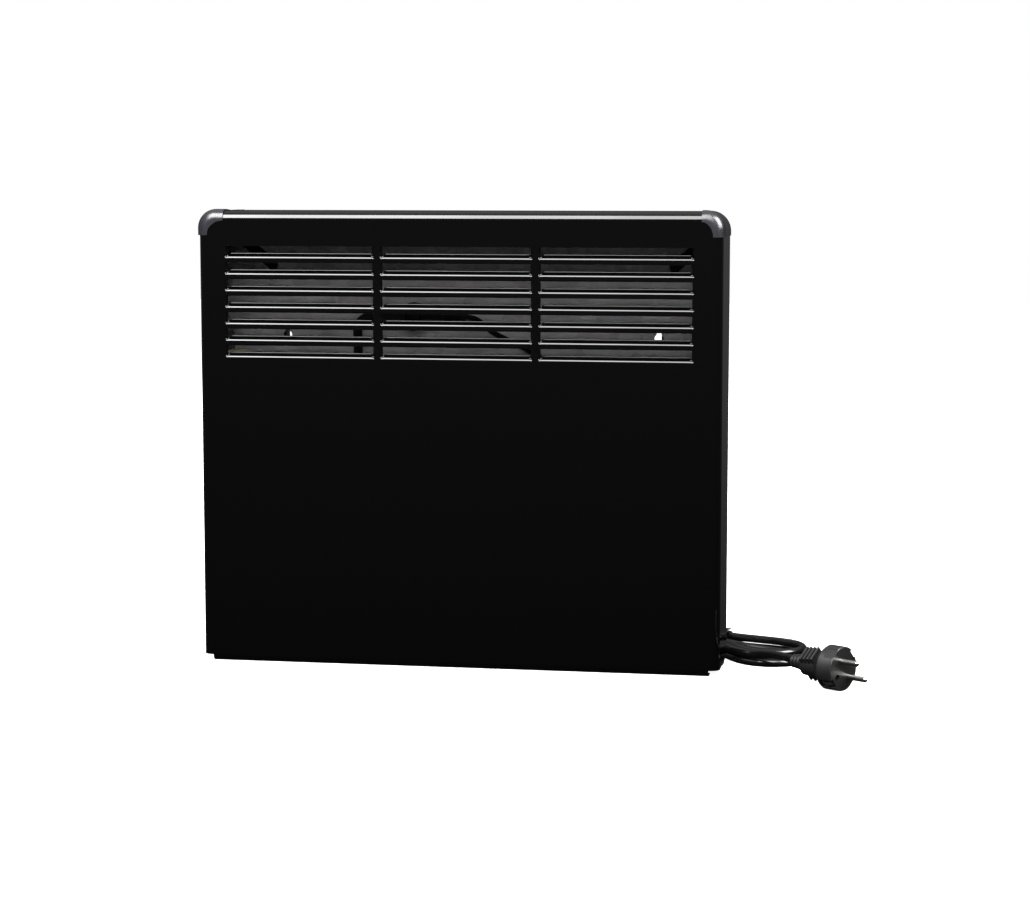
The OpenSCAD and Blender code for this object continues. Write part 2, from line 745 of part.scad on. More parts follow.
// The rocker's side view, its pivot at the origin and its face towards +X: a shallow V over a rounded body
module power_rocker() {
    lean = rocker_tilt;
    color([0.55, 0.06, 0.05])
        translate([floor_x + 1.2, controls_y + rocker_w / 2, rocker_z])
            rotate([90, 0, 0])
                linear_extrude(rocker_w)
                    rotate(rocker_tilt)
                        intersection() {
                            polygon([[rocker_in, -3], [rocker_in, 3], [0, rocker_l / 2 - 0.3],
                                [-rocker_rise - rocker_l / 2 * tan(lean) - 0.4, rocker_l / 2 - 0.3],
                                [-rocker_rise, 0],
                                [-rocker_rise - rocker_l / 2 * tan(lean) - 0.4, -rocker_l / 2 + 0.3],
                                [0, -rocker_l / 2 + 0.3]]);
                            circle(rocker_l / 2 - 0.2);
                        }
}

/* Heating element */
element_y = (front_y + panel_y) / 2;
fin_count = floor(fins_l / fin_pitch);
fin_row = (fin_count - 1) * fin_pitch;
bracket_foot = 11;
element_bracket_x = [[-fin_row / 2 - 14, -1], [fin_row / 2 + 14, 1]];
element_bracket_t = 1.2;
element_screw_r = 2;
element_screw_z = [element_z - 16, element_z + 16];
core_h = 13;
// Plates fused to a core bar that holds the rod's two legs
module heating_fins() {
    core_w = rod_span + core_h;
    color([0.8, 0.81, 0.82])
        difference() {
            union() {
                for (i = [0 : fin_count - 1])
                    translate([-fin_row / 2 + i * fin_pitch - fin_t / 2, element_y - fin_d / 2, element_z - fin_h / 2])
                        cube([fin_t, fin_d, fin_h]);
                translate([-fin_row / 2 - fin_t / 2, element_y - core_w / 2, element_z - core_h / 2])
                    cube([fin_row + fin_t, core_w, core_h]);
            }
            for (y = [-rod_span / 2, rod_span / 2])
                translate([-fin_row / 2 - fin_t, element_y + y, element_z])
                    rotate([0, 90, 0]) cylinder(h = fin_row + 2 * fin_t, r = rod_d / 2);
        }
}
rod_left = element_bracket_x[0][0] - 12;
rod_right = element_bracket_x[1][0] + 14;
module heating_rod() {
    color([0.45, 0.44, 0.42]) {
        for (y = [-rod_span / 2, rod_span / 2])
            translate([rod_left, element_y + y, element_z])
                rotate([0, 90, 0]) cylinder(h = rod_right - rod_left, r = rod_d / 2);
        translate([rod_left, element_y, element_z])
            rotate([0, 0, 90]) rotate_extrude(angle = 180) translate([rod_span / 2, 0]) circle(rod_d / 2);
    }
}
seal_l = 7;
stud_r = 1.6;
stud_l = 16;
module rod_seals() {
    color([0.75, 0.3, 0.15])
        for (y = [-rod_span / 2, rod_span / 2])
            translate([rod_right, element_y + y, element_z])
                rotate([0, 90, 0])
                    difference() {
                        cylinder(h = seal_l, r1 = rod_d / 2, r2 = rod_d / 2 - 1);
                        translate([0, 0, -1]) cylinder(h = seal_l + 2, r = stud_r);
                    }
}
module rod_terminals() {
    color([0.75, 0.74, 0.7])
        for (y = [-rod_span / 2, rod_span / 2])
            translate([rod_right, element_y + y, element_z]) {
                rotate([0, 90, 0]) cylinder(h = stud_l, r = stud_r);
                translate([seal_l, 0, 0]) rotate([0, 90, 0]) cylinder(h = 2.2, r = 3.1, $fn = 6);
                translate([stud_l - eps, -3.15, -0.4]) cube([8, 6.3, 0.8]);
            }
}
bush_r = rod_d / 2 + 2.4;
module element_bracket(place) {
    x = place[0];
    side = place[1];
    color([0.72, 0.73, 0.74])
        difference() {
            union() {
                sideways(x - element_bracket_t / 2, element_bracket_t)
                    translate([element_y, element_z])
                        rounded_rect(fin_d, fin_h + 6, 4);
                sideways(x - element_bracket_t / 2, element_bracket_t)
                    translate([element_y, element_z - 20])
                        square([panel_y - element_y, 40]);
                translate([side > 0 ? x - element_bracket_t / 2 : x + element_bracket_t / 2 - bracket_foot,
                    panel_y - element_bracket_t, element_z - 22])
                    cube([bracket_foot, element_bracket_t, 44]);
            }
            for (y = [-rod_span / 2, rod_span / 2])
                translate([x - element_bracket_t, element_y + y, element_z])
                    rotate([0, 90, 0]) cylinder(h = 2 * element_bracket_t, r = bush_r);
            for (z = element_screw_z)
                translate([x + side * bracket_foot / 2, panel_y - 3, z])
                    rotate([-90, 0, 0]) cylinder(h = 4, r = element_screw_r);
        }
}
module element_bracket_left() { element_bracket(element_bracket_x[0]); }
module element_bracket_right() { element_bracket(element_bracket_x[1]); }
module element_bushes() {
    flange_r = bush_r + 2;
    color([0.55, 0.16, 0.12])
        for (place = element_bracket_x, y = [-rod_span / 2, rod_span / 2])
            translate([place[0], element_y + y, element_z])
                rotate([0, 90, 0])
                    difference() {
                        union() {
                            translate([0, 0, -element_bracket_t / 2]) cylinder(h = element_bracket_t, r = bush_r);
                            translate([0, 0, -bush_l / 2])
                                cylinder(h = bush_l / 2 - element_bracket_t / 2, r = flange_r);
                            translate([0, 0, element_bracket_t / 2])
                                cylinder(h = bush_l / 2 - element_bracket_t / 2, r = flange_r);
                        }
                        translate([0, 0, -bush_l]) cylinder(h = 2 * bush_l, r = rod_d / 2);
                    }
}
module element_screws() {
    color([0.62, 0.63, 0.65])
        for (place = element_bracket_x, z = element_screw_z)
            translate([place[0] + place[1] * bracket_foot / 2, panel_back_y + screw_head_h, z])
                rotate([-90, 0, 0]) screw(3, screw_head_h, element_screw_r, panel_t + element_bracket_t + 3);
}

/* Overheat limiter behind the middle louvres */
holder_t = 9;
holder_feet = [-holder_x - 20, -holder_x + 20];
holder_peg_r = 2;
limiter_y = panel_y - holder_t / 2;
sleeve_r = sleeve_d / 2;
module limiter_holder() {
    arch_r = holder_t + 3.5;
    color([0.07, 0.07, 0.07])
        difference() {
            union() {
                upright(panel_y - holder_t, holder_t) {
                    translate([-holder_x, limiter_z]) square([holder_l, 11], center = true);
                    // Arched back over the limiter's seat
                    translate([-holder_x, limiter_z]) circle(arch_r);
                    translate([-holder_x - 17, limiter_z]) square([34, arch_r - 3]);
                }
                for (x = holder_feet)
                    translate([x, panel_y - eps, limiter_z])
                        rotate([-90, 0, 0]) cylinder(h = panel_t + 1.5, r = holder_peg_r);
            }
            translate([-holder_x, panel_y - holder_t - 1, limiter_z])
                rotate([-90, 0, 0]) cylinder(h = holder_t - 1, r = limiter_d / 2);
            // Ways for the sleeved leads
            for (side = [-1, 1])
                translate([-holder_x + side * holder_l / 2, limiter_y, limiter_z])
                    rotate([0, side * -90, 0]) translate([0, 0, -1]) cylinder(h = lead_way + 1, r = sleeve_r);
        }
}
lead_way = 8;
module limiter_body() {
    color([0.12, 0.11, 0.1])
        translate([-holder_x, panel_y - 2, limiter_z])
            rotate([90, 0, 0]) {
                cylinder(h = holder_t - 2.5, r = limiter_d / 2);
                translate([0, 0, holder_t - 2.5 - eps]) cylinder(h = 1.6, r1 = limiter_d / 2 - 1, r2 = limiter_d / 2 - 2);
            }
}
// A point in the casing, given by its distance in front of the rear panel
function inside(x, gap, z) = [x, panel_y - gap, z];
// Sleeved lead from the limiter's left end down to the thermostat. Each point has its share of the way across
// to the thermostat's tab, its distance in front of the rear panel and its drop below the limiter
left_lead_points = [[0.162, 4.5, 0.5], [0.222, 4.5, 2.5], [0.265, 4.5, 9.5], [0.265, 4.5, 28.5], [0.274, 4.5, 50.5],
    [0.333, 4.5, 67.5], [0.453, 5, 76.5], [0.65, 9, 77], [0.77, 28, 71]];
module limiter_lead_left() {
    start = [-holder_x - holder_l / 2 + lead_way, limiter_y, limiter_z];
    tab = [floor_x + panel_wall + thermostat_d + 8, controls_y - 9, knob_z + 9.4];
    path = concat([start, start - [12, 0, 0]], [for (p = left_lead_points) inside(start[0] + p[0] * (tab[0] - start[0]), p[1], limiter_z - p[2])],
        [tab + [14, -2, -18], tab + [12, 0, -6], tab + [6, 0, 0], tab]);
    thin_r = 2.4;
    color([0.05, 0.05, 0.05])
        swept_tube(path, concat([for (i = [0 : len(left_lead_points)]) sleeve_r], [for (i = [0 : 4]) thin_r]), 8,
            [-1, 0, 0], [-1, 0, 0]);
}
// Thinner lead from the limiter's right end down past the element to the terminal block. Each point has its
// distance to the right of the middle, its distance in front of the rear panel and its share of the way down
right_lead_points = [[7, 4.5, 0.01], [22, 4.5, 0.055], [52, 4.5, 0.111], [76, 4.8, 0.181], [88, 6, 0.298],
    [92, 7, 0.462], [94, 7, 0.548], [98, 2.8, 0.688], [104, 2.8, 0.789], [122, 4, 0.86], [138, 6, 0.906]];
wire_r = 2.4;
module limiter_lead_right() {
    start = [-holder_x + holder_l / 2 - lead_way, limiter_y, limiter_z];
    to = [block_x + block_l / 2, block_wire_y, block_z + block_pitch];
    path = concat([start, [-3, limiter_y, limiter_z], [-2.6, limiter_y, limiter_z]],
        [for (p = right_lead_points) inside(p[0], p[1], start[2] + p[2] * (to[2] - start[2]))],
        [to + [13, 0, 5], to + [6, 0, 0], to]);
    color([0.05, 0.05, 0.05])
        swept_tube(path, concat([sleeve_r, sleeve_r], [for (i = [0 : len(right_lead_points) + 3]) wire_r]), 8,
            [1, 0, 0], [-1, 0, 0]);
}

/* Terminal block, wires and cord entry */
block_x = 118;
block_z = 32;
block_pitch = 10;
block_l = 16;
block_d = 14;
block_wire_y = panel_y - block_d / 2;
block_screw_z = [block_z - block_pitch / 2, block_z + block_pitch / 2];
block_screw_r = 1.5;
block_head_r = 2.4;
block_ways = [-1, 0, 1];
clamp_screw_depth = 4;
module terminal_block() {
    web_d = block_d * 0.6;
    color([0.88, 0.87, 0.83])
        difference() {
            union() {
                for (i = block_ways)
                    translate([block_x - block_l / 2, panel_y - block_d, block_z + i * block_pitch - 4.4])
                        cube([block_l, block_d, 8.8]);
                translate([block_x - 4, panel_y - web_d, block_z - block_pitch - 4])
                    cube([8, web_d, 2 * block_pitch + 8]);
            }
            for (i = block_ways, x = [-4, 4])
                translate([block_x + x, panel_y - block_d - 1, block_z + i * block_pitch])
                    rotate([-90, 0, 0]) cylinder(h = clamp_screw_depth + 1, r = 2.2);
            for (z = block_screw_z) {
                translate([block_x, panel_y - block_d, z])
                    rotate([-90, 0, 0]) cylinder(h = block_d + 1, r = block_screw_r);
                // Seat of the screw's head, down to the web
                translate([block_x, panel_y - block_d - 1, z])
                    rotate([-90, 0, 0]) cylinder(h = block_d - web_d + 1, r = block_head_r + 0.1);
            }
        }
}
module terminal_screws() {
    web_d = block_d * 0.6;
    color([0.8, 0.72, 0.45]) {
        for (i = block_ways, x = [-4, 4])
            translate([block_x + x, panel_y - block_d + clamp_screw_depth - 2.4, block_z + i * block_pitch])
                rotate([90, 0, 0]) cylinder(h = 2.4, r = 2, center = false);
        for (z = block_screw_z)
            translate([block_x, panel_y - web_d - 1, z])
                rotate([90, 0, 0]) screw(block_head_r, 1, block_screw_r, web_d + panel_t + 1);
    }
}
gland_x = 93;
gland_z = 70;
gland_hole_r = 7;
gland_in = 8;
gland_y = panel_back_y + 7.6;
boot_l = 28;
cord_r = cord_d / 2;
boot_end_z = gland_z - 8 - boot_l;
// Angled gland through the rear panel, with a ribbed boot that tapers down along the lead
module cord_gland() {
    color([0.06, 0.06, 0.06])
        difference() {
            union() {
                // Threaded neck through the panel, and the flange behind it
                translate([gland_x, panel_y - gland_in, gland_z])
                    rotate([-90, 0, 0]) cylinder(h = gland_in + panel_t + eps, r = gland_hole_r);
                translate([gland_x, panel_back_y, gland_z]) rotate([-90, 0, 0]) cylinder(h = 1.8, r = gland_hole_r + 2);
                // Elbow
                translate([gland_x, panel_back_y + 1.7, gland_z])
                    rotate([-90, 0, 0]) cylinder(h = bracket_d - 2.6, r = 6.6);
                translate([gland_x, gland_y, gland_z - 8]) cylinder(h = 8, r = 6.2);
                // Tapered boot with its ribs
                translate([gland_x, gland_y, boot_end_z]) cylinder(h = boot_l, r1 = cord_r + 0.9, r2 = 6);
                for (i = [0 : 4])
                    translate([gland_x, gland_y, boot_end_z + 1.5 + i * 5])
                        cylinder(h = 2.2, r = cord_r + 1.5 + i * 0.3);
            }
            // Way of the lead, from the inside to the elbow and down to the boot's mouth
            translate([gland_x, panel_y - gland_in - 1, gland_z])
                rotate([-90, 0, 0]) cylinder(h = gland_y - panel_y + gland_in + 1, r = cord_r);
            translate([gland_x, gland_y, boot_end_z - 1]) cylinder(h = gland_z - boot_end_z + 1, r = cord_r);
        }
}
// Nut that holds the gland and grips the lead's sheath
module gland_nut() {
    color([0.1, 0.1, 0.1])
        translate([gland_x, panel_y - gland_in + 1, gland_z])
            rotate([-90, 0, 0])
                difference() {
                    union() {
                        cylinder(h = gland_in - 1, r = 10.5, $fn = 6);
                        translate([0, 0, gland_in - 2.2]) cylinder(h = 1.2, r = 10.8);
                    }
                    translate([0, 0, -1]) cylinder(h = gland_in + 1, r = gland_hole_r);
                }
}
// End of the sheath inside the casing, round through the gland's elbow
stub_l = 4;
elbow_in = gland_y - panel_y + gland_in + stub_l;
module cord_stub() {
    color([0.05, 0.05, 0.05]) {
        translate([gland_x, panel_y - gland_in - stub_l, gland_z])
            rotate([-90, 0, 0]) cylinder(h = elbow_in, r = cord_r);
        translate([gland_x, gland_y, lead_top_z]) cylinder(h = gland_z - lead_top_z, r = cord_r);
    }
}
lead_top_z = boot_end_z + 3;
core_r = 1.3;
module cord_core(i, tint) {
    from = [gland_x + 1.5 * i, panel_y - gland_in - stub_l, gland_z + 0.9 - 2.1 * (1 - abs(i))];
    to = [block_x - block_l / 2, block_wire_y, block_z + i * block_pitch];
    color(tint)
        swept_tube([from, from - [0, 4, 1], from + [2 * i, -6, -6], from + [3 * i, -4, -14],
                [gland_x + 3 + 4 * i, to[1] - 2, to[2] + 9], to - [8, 1, -3], to - [4, 0, 0], to],
            core_r, 8, [0, -1, 0], [1, 0, 0]);
}
module core_live() { cord_core(1, [0.35, 0.2, 0.1]); }
module core_neutral() { cord_core(0, [0.1, 0.2, 0.55]); }
module core_earth() { cord_core(-1, [0.3, 0.55, 0.15]); }
lead_r = 1.6;
tab_step = [7, 0, 0];
module switch_wire() {
    from = [floor_x + panel_wall + thermostat_d + 8, controls_y + 9, knob_z + 9.4];
    to = [floor_x + switch_d + 8, controls_y, rocker_z + 5.4];
    color([0.35, 0.2, 0.1])
        swept_tube([from, from + [6, 0, 0], from + [13, -2, -10], from + [14, -5, -28], to + [15, 0, 12],
            to + tab_step, to], lead_r, 8, [1, 0, 0], [-1, 0, 0]);
}
// Share of the casing's half width, distance in front of the rear panel and height above the element
element_wire_points = [[-0.78, 10, 68], [-0.665, 2.2, 54], [-0.266, 2.2, 42], [0.266, 2.2, 40], [0.665, 2.2, 38]];
module element_wire() {
    from = [floor_x + switch_d + 8, controls_y, rocker_z - 4.6];
    to = [rod_right + stud_l + 8, element_y - rod_span / 2, element_z];
    color([0.35, 0.2, 0.1])
        swept_tube(concat([from, from + tab_step], [for (p = element_wire_points) inside(p[0] * case_w / 2, p[1], element_z + p[2])],
                [to - [10, -24, -34], to + [8, 14, 20], to + [11, 3, 6], to + tab_step / 2, to]),
            lead_r, 8, [1, 0, 0], [-1, 0, 0]);
}
module neutral_wire() {
    from = [rod_right + stud_l + 8, element_y + rod_span / 2, element_z];
    to = [block_x + block_l / 2, block_wire_y, block_z];
    color([0.1, 0.2, 0.55])
        swept_tube([from, from + [4, 0, 0], from + [9, 2, -8], from + [6, 4, -26], from + [-12, 6, -50],
                to + [44, 0, 8], to + [18, 0, 0], to],
            lead_r, 8, [1, 0, 0], [-1, 0, 0]);
}
earth_x = 152;
earth_z = 20;
earth_r = 2;
module earth_wire() {
    from = [block_x + block_l / 2, block_wire_y, block_z - block_pitch];
    to = [earth_x - 5, panel_y - 1.7, earth_z];
    color([0.3, 0.55, 0.15])
        swept_tube([from, from + tab_step, from + [14, 3, 0], to + [-8, -1, 0], to], lead_r, 8,
            [1, 0, 0], [1, 0, 0]);
}
module earth_screw() {
    ring_t = 3.2;
    color([0.8, 0.72, 0.45]) {
        translate([earth_x, panel_y - ring_t, earth_z]) rotate([90, 0, 0]) cylinder(h = 2, r = 3.4);
        translate([earth_x, panel_y - ring_t - eps, earth_z])
            rotate([-90, 0, 0]) cylinder(h = ring_t + panel_t + 2.6, r = earth_r);
        translate([earth_x, panel_y - ring_t, earth_z]) rotate([-90, 0, 0]) cylinder(h = ring_t, r = 5);
        translate([earth_x, panel_back_y, earth_z]) rotate([-90, 0, 0]) cylinder(h = 2.2, r = 3.8, $fn = 6);
    }
}

/* Mains lead */
// The hank lies behind the right rear corner, its long axis turned towards the front
hank_place = [214.5, 75.5];
hank_heading = -33;
hank_along = [cos(hank_heading), sin(hank_heading), 0];
hank_across = [-sin(hank_heading), cos(hank_heading), 0];
hank_end = hank_loops + 0.25;
tie_gap = 0.3;
waist_lift = tie_t + tie_gap;
// Share of the waist's pull at a distance u along the hank
function pull(u) = abs(u) > hank_run / 2 ? 0 : pow(cos(180 * u / hank_run), 2);
function smooth(t) = let (s = max(0, min(1, t))) s * s * (3 - 2 * s);
function hank_offset(t) = hank_step * abs(t - hank_end / 2);
// Centre line after t loops: near run, right fold, far run, left fold
function hank_flat(t) =
    let (f = t - floor(t), part = min(3, floor(f * 4)), g = f * 4 - part,
        r = hank_fold_r + hank_offset(t), half = hank_run / 2,
        u = part == 0 ? -half + g * hank_run : half - g * hank_run,
        wide = r - (hank_fold_r - hank_waist) * pull(u))
    part == 0 ? [u, -wide] : part == 1 ? [half + r * cos(-90 + 180 * g), r * sin(-90 + 180 * g)]
    : part == 2 ? [u, wide] : [-half - r * sin(180 * g), r * cos(180 * g)];
function hank_height(t, u) =
    cord_r + hank_layer * smooth((t - hank_loops / 2) * 4) + waist_lift * pull(u);
function hank_point(t) =
    let (p = hank_flat(t))
    [hank_place[0], hank_place[1], hank_height(t, p[0])] + p[0] * hank_along + p[1] * hank_across;
hank_stub = cord_d;
hank_start_point = hank_point(0) - hank_stub * hank_along;
hank_end_point = hank_point(hank_end) + hank_stub * hank_along;
hank_rings = 24;
hank_path = concat([hank_start_point], [for (i = [0 : round(hank_end * hank_rings)]) hank_point(i / hank_rings)],
    [hank_end_point]);
// Least gap of the hank to itself, on points five to a ring
gap_steps = 5 * hank_rings;
gap_points = [for (i = [0 : round(hank_end * gap_steps)]) hank_point(i / gap_steps)];
hank_gap = min([for (i = [0 : len(gap_points) - 1], j = [i + 20 : len(gap_points) - 1])
    norm(gap_points[i] - gap_points[j])]) - cord_d;
function path_length(p) = len(p) < 2 ? 0 : norm(p[1] - p[0]) + path_rest(p, 1, 0);
function path_rest(p, i, sum) = i > len(p) - 2 ? sum : path_rest(p, i + 1, sum + norm(p[i + 1] - p[i]));

// From the boot's mouth down to the ground, back and round into the hank
lead_points = [[93, 35, 31], [93, 38, 18], [93, 48, 8], [93, 62, 3.5], [97, 77, 3.5], [108, 88, 3.5], [122, 91, 3.5]];
lead_start = [gland_x, gland_y, lead_top_z];
lead_path = concat([lead_start, lead_start - [0, 0, 3]], lead_points, [hank_start_point]);
plug_heading = -34;
plug_along = [cos(plug_heading), sin(plug_heading), 0];
plug_place = [331, -78, plug_d / 2];
plug_entry = plug_place - (plug_l + relief_l) * plug_along;
// From the hank forward to the plug
tail_points = [[259, 3, 13], [270, -11, 15], [278, -26, 17], [284, -40, 18.5]];
tail_path = concat([hank_end_point], tail_points, [plug_entry]);
module cord_lead() {
    color([0.05, 0.05, 0.05]) swept_tube(lead_path, cord_r, 8, [0, 0, -1], hank_along);
}
module cord_hank() {
    color([0.05, 0.05, 0.05]) swept_tube(hank_path, cord_r, 6, hank_along, hank_along, [0, 0, 1]);
    echo(hank_least_gap = hank_gap);
    echo(cord_lengths = [path_length(lead_path), path_length(hank_path), path_length(tail_path)]);
}
module cord_tail() {
    color([0.05, 0.05, 0.05]) swept_tube(tail_path, cord_r, 8, hank_along, plug_along);
}
module cord_tie() {
    middle = hank_end / 2;
    near = hank_waist + hank_step * (middle - 0.125);
    far = hank_waist + hank_step * (middle - 0.625);
    wide = near + far + cord_d + 2 * tie_gap + 1;
    tall = hank_layer + cord_d + 2 * tie_gap;
    color([0.08, 0.08, 0.08])
        translate([hank_place[0], hank_place[1], 0])
            rotate([0, 0, hank_heading])
                rotate([90, 0, 90])
                    translate([(far - near) / 2, tie_t + tall / 2, -tie_w / 2]) {
                        linear_extrude(tie_w)
                            difference() {
                                rounded_rect(wide + 2 * tie_t, tall + 2 * tie_t, 4 + tie_t);
                                rounded_rect(wide, tall, 4);
                            }
                        // Head of the tie and its short end
                        translate([2, tall / 2 + tie_t - eps, -1]) cube([7, 3.2, tie_w + 2]);
                        translate([9 - eps, tall / 2 + tie_t + 0.8, 0.5]) cube([9, 1, tie_w - 1]);
                    }
}

/* Mains plug, its axis along +Z with the face at zero, pins along X */
plug_roll = 39;
clip_strip_w = 4;
clip_recess = 2.6;
module plug_frame() {
    translate(plug_place) rotate([0, 90, plug_heading]) rotate([0, 0, plug_roll]) children();
}
module plug_body() {
    r = plug_d / 2;
    entry = plug_l + relief_l;
    color([0.09, 0.09, 0.09])
        plug_frame()
            difference() {
                union() {
                    rotate_extrude()
                        polygon([[0, -plug_l], [8, -plug_l], [10, -plug_l + 2], [11.5, -22], [r - 2.5, -17],
                            [r - 0.6, -15], [r, -14], [r, -0.8], [r - 0.8, 0], [0, 0]]);
                    // Grips along the body
                    for (turn = [0, 180], i = [0 : 3])
                        rotate(turn) translate([7, -7, -36 + i * 4]) cube([6 + i * 0.6, 14, 2]);
                    // Strain relief with its ribs
                    translate([0, 0, -entry]) cylinder(h = relief_l + eps, r1 = cord_r + 1, r2 = 6);
                    for (i = [0 : 2])
                        translate([0, 0, -entry + 1.5 + i * 3.6]) cylinder(h = 1.8, r = cord_r + 2.2 + i * 0.5);
                }
                // Way of the cord
                translate([0, 0, -entry - 1]) cylinder(h = cord_seat + 1, r = cord_r);
                // Seats of the pins and hole for the socket's earth pin
                for (x = [-1, 1]) translate([x * pin_span / 2, 0, -pin_seat]) cylinder(h = pin_seat + 1, r = pin_d / 2);
                translate([0, -earth_offset, -16]) cylinder(h = 17, r = 2.7);
                // Side grooves for the earth clips
                for (side = [-1, 1])
                    translate([-groove_w / 2, side > 0 ? r - clip_recess : -r - 1, -13])
                        cube([groove_w, clip_recess + 1, 14]);
                // Flats beside the grooves
                for (side = [-1, 1])
                    translate([side > 0 ? r - 1 : -r - 1, -5, -9]) cube([2, 10, 10]);
            }
}
groove_w = 9;
earth_offset = 10.2;
pin_seat = 12;
cord_seat = 1;
module plug_pins() {
    color([0.8, 0.8, 0.8])
        plug_frame()
            for (x = [-1, 1])
                translate([x * pin_span / 2, 0, -pin_seat])
                    rotate_extrude()
                        polygon([[0, 0], [pin_d / 2, 0], [pin_d / 2, pin_seat + pin_l - 1.6],
                            [pin_d / 2 - 0.5, pin_seat + pin_l - 0.5], [pin_d / 2 - 1.3, pin_seat + pin_l],
                            [0, pin_seat + pin_l]]);
}
module plug_earth_clips() {
    r = plug_d / 2;
    strip_t = 0.8;
    color([0.8, 0.78, 0.7])
        plug_frame()
            for (side = [0, 1])
                mirror([0, side, 0]) {
                    translate([-clip_strip_w / 2, r - clip_recess, -12]) cube([clip_strip_w, strip_t, 11]);
                    // Sprung bow of the strip
                    translate([-clip_strip_w / 2, r - clip_recess - 3.2, -6.5])
                        rotate([0, 90, 0])
                            intersection() {
                                difference() {
                                    cylinder(h = clip_strip_w, r = 5.2);
                                    translate([0, 0, -1]) cylinder(h = clip_strip_w + 2, r = 4.6);
                                }
                                translate([-4, 3.2, 0]) cube([8, 4, clip_strip_w]);
                            }
                }
}

front_casing();
corner_cap_left();
corner_cap_right();
rear_panel();
casing_screws();
control_panel();
control_screws();
thermostat_body();
thermostat_shaft();
thermostat_knob();
switch_body();
power_rocker();
heating_fins();
heating_rod();
rod_seals();
rod_terminals();
element_bracket_left();
element_bracket_right();
element_bushes();
element_screws();
limiter_holder();
limiter_body();
limiter_lead_left();
limiter_lead_right();
terminal_block();
terminal_screws();
switch_wire();
element_wire();
neutral_wire();
earth_wire();
earth_screw();
cord_gland();
gland_nut();
cord_stub();
core_live();
core_neutral();
core_earth();
wall_bracket();
bracket_clips();
cord_lead();
cord_hank();
cord_tail();
cord_tie();
plug_body();
plug_pins();
plug_earth_clips();
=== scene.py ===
"""Looks of a slim convector heater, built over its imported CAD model, in metres and in that model's frame."""

import logging
import math
from dataclasses import dataclass, field
from enum import Enum

import bmesh
import bpy
from bpy.types import ID, Material, Mesh, Node, NodeTree, Object
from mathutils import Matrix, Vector
from mathutils.geometry import delaunay_2d_cdt


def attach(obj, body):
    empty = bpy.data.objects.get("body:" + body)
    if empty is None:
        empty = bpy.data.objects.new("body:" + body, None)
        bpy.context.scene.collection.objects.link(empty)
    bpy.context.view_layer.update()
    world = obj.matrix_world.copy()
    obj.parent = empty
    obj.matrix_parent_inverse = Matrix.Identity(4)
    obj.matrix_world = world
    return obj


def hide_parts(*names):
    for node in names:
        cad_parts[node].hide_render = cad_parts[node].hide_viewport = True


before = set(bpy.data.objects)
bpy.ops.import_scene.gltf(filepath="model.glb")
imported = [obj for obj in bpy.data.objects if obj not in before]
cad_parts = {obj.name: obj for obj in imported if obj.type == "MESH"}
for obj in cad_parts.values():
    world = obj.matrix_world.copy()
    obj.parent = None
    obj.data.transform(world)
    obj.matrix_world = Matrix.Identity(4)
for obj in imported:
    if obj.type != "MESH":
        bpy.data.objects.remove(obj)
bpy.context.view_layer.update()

Pair = tuple[float, float]
Triple = tuple[float, float, float]

LOG = logging.getLogger("heater")
MM = 0.001
# Angles in degrees: above the first an edge of a sheet stays sharp, above the second it is a cut edge
SHARP = 40.0
CUT = 60.0
# How much counts as nothing: between points, and of a flat's normal beside its axis
CLOSE = 1e-6
TILT = 1e-5
# Curve pieces between two given points of the internal wires, and of the lead's ends
WIRE_STEPS = 5
LEAD_STEPS = 6


def linear(colour: str) -> tuple[float, float, float, float]:
    """Turns an sRGB hex colour into the linear colour that a shader takes.

    Args:
        colour: Six hex digits with a leading hash sign.

    Returns:
        Linear red, green, blue and an alpha of one.
    """
    parts = [int(colour[i:i + 2], 16) / 255 for i in (1, 3, 5)]
    red, green, blue = (c / 12.92 if c <= 0.04045 else ((c + 0.055) / 1.055) ** 2.4 for c in parts)
    return red, green, blue, 1.0


def per_metre(size_mm: float) -> float:
    """Texture scale on object coordinates that gives a pattern of this size in millimetres."""
    return 1 / (size_mm * MM)


def band(middle: float, below: float, above: float) -> dict[str, float]:
    """Output range of a pattern, from below a middle value to above it."""
    return {"To Min": middle - below, "To Max": middle + above}


def add_node(tree: NodeTree, kind: str, inputs: dict | None = None, links: dict | None = None,
             **settings: object) -> Node:
    """Adds a node with its settings, values and incoming links.

    Args:
        tree: Node tree that takes the node.
        kind: Blender's identifier of the node, after its prefix ShaderNode.
        inputs: Socket name or index to value.
        links: Socket name or index to (node, output name or index).
        settings: Properties of the node itself.

    Returns:
        The new node.
    """
    node = tree.nodes.new("ShaderNode" + kind)
    for key, value in settings.items():
        setattr(node, key, value)
    for key, value in (inputs or {}).items():
        node.inputs[key].default_value = value
    for key, (source, output) in (links or {}).items():
        tree.links.new(source.outputs[output], node.inputs[key])
    return node


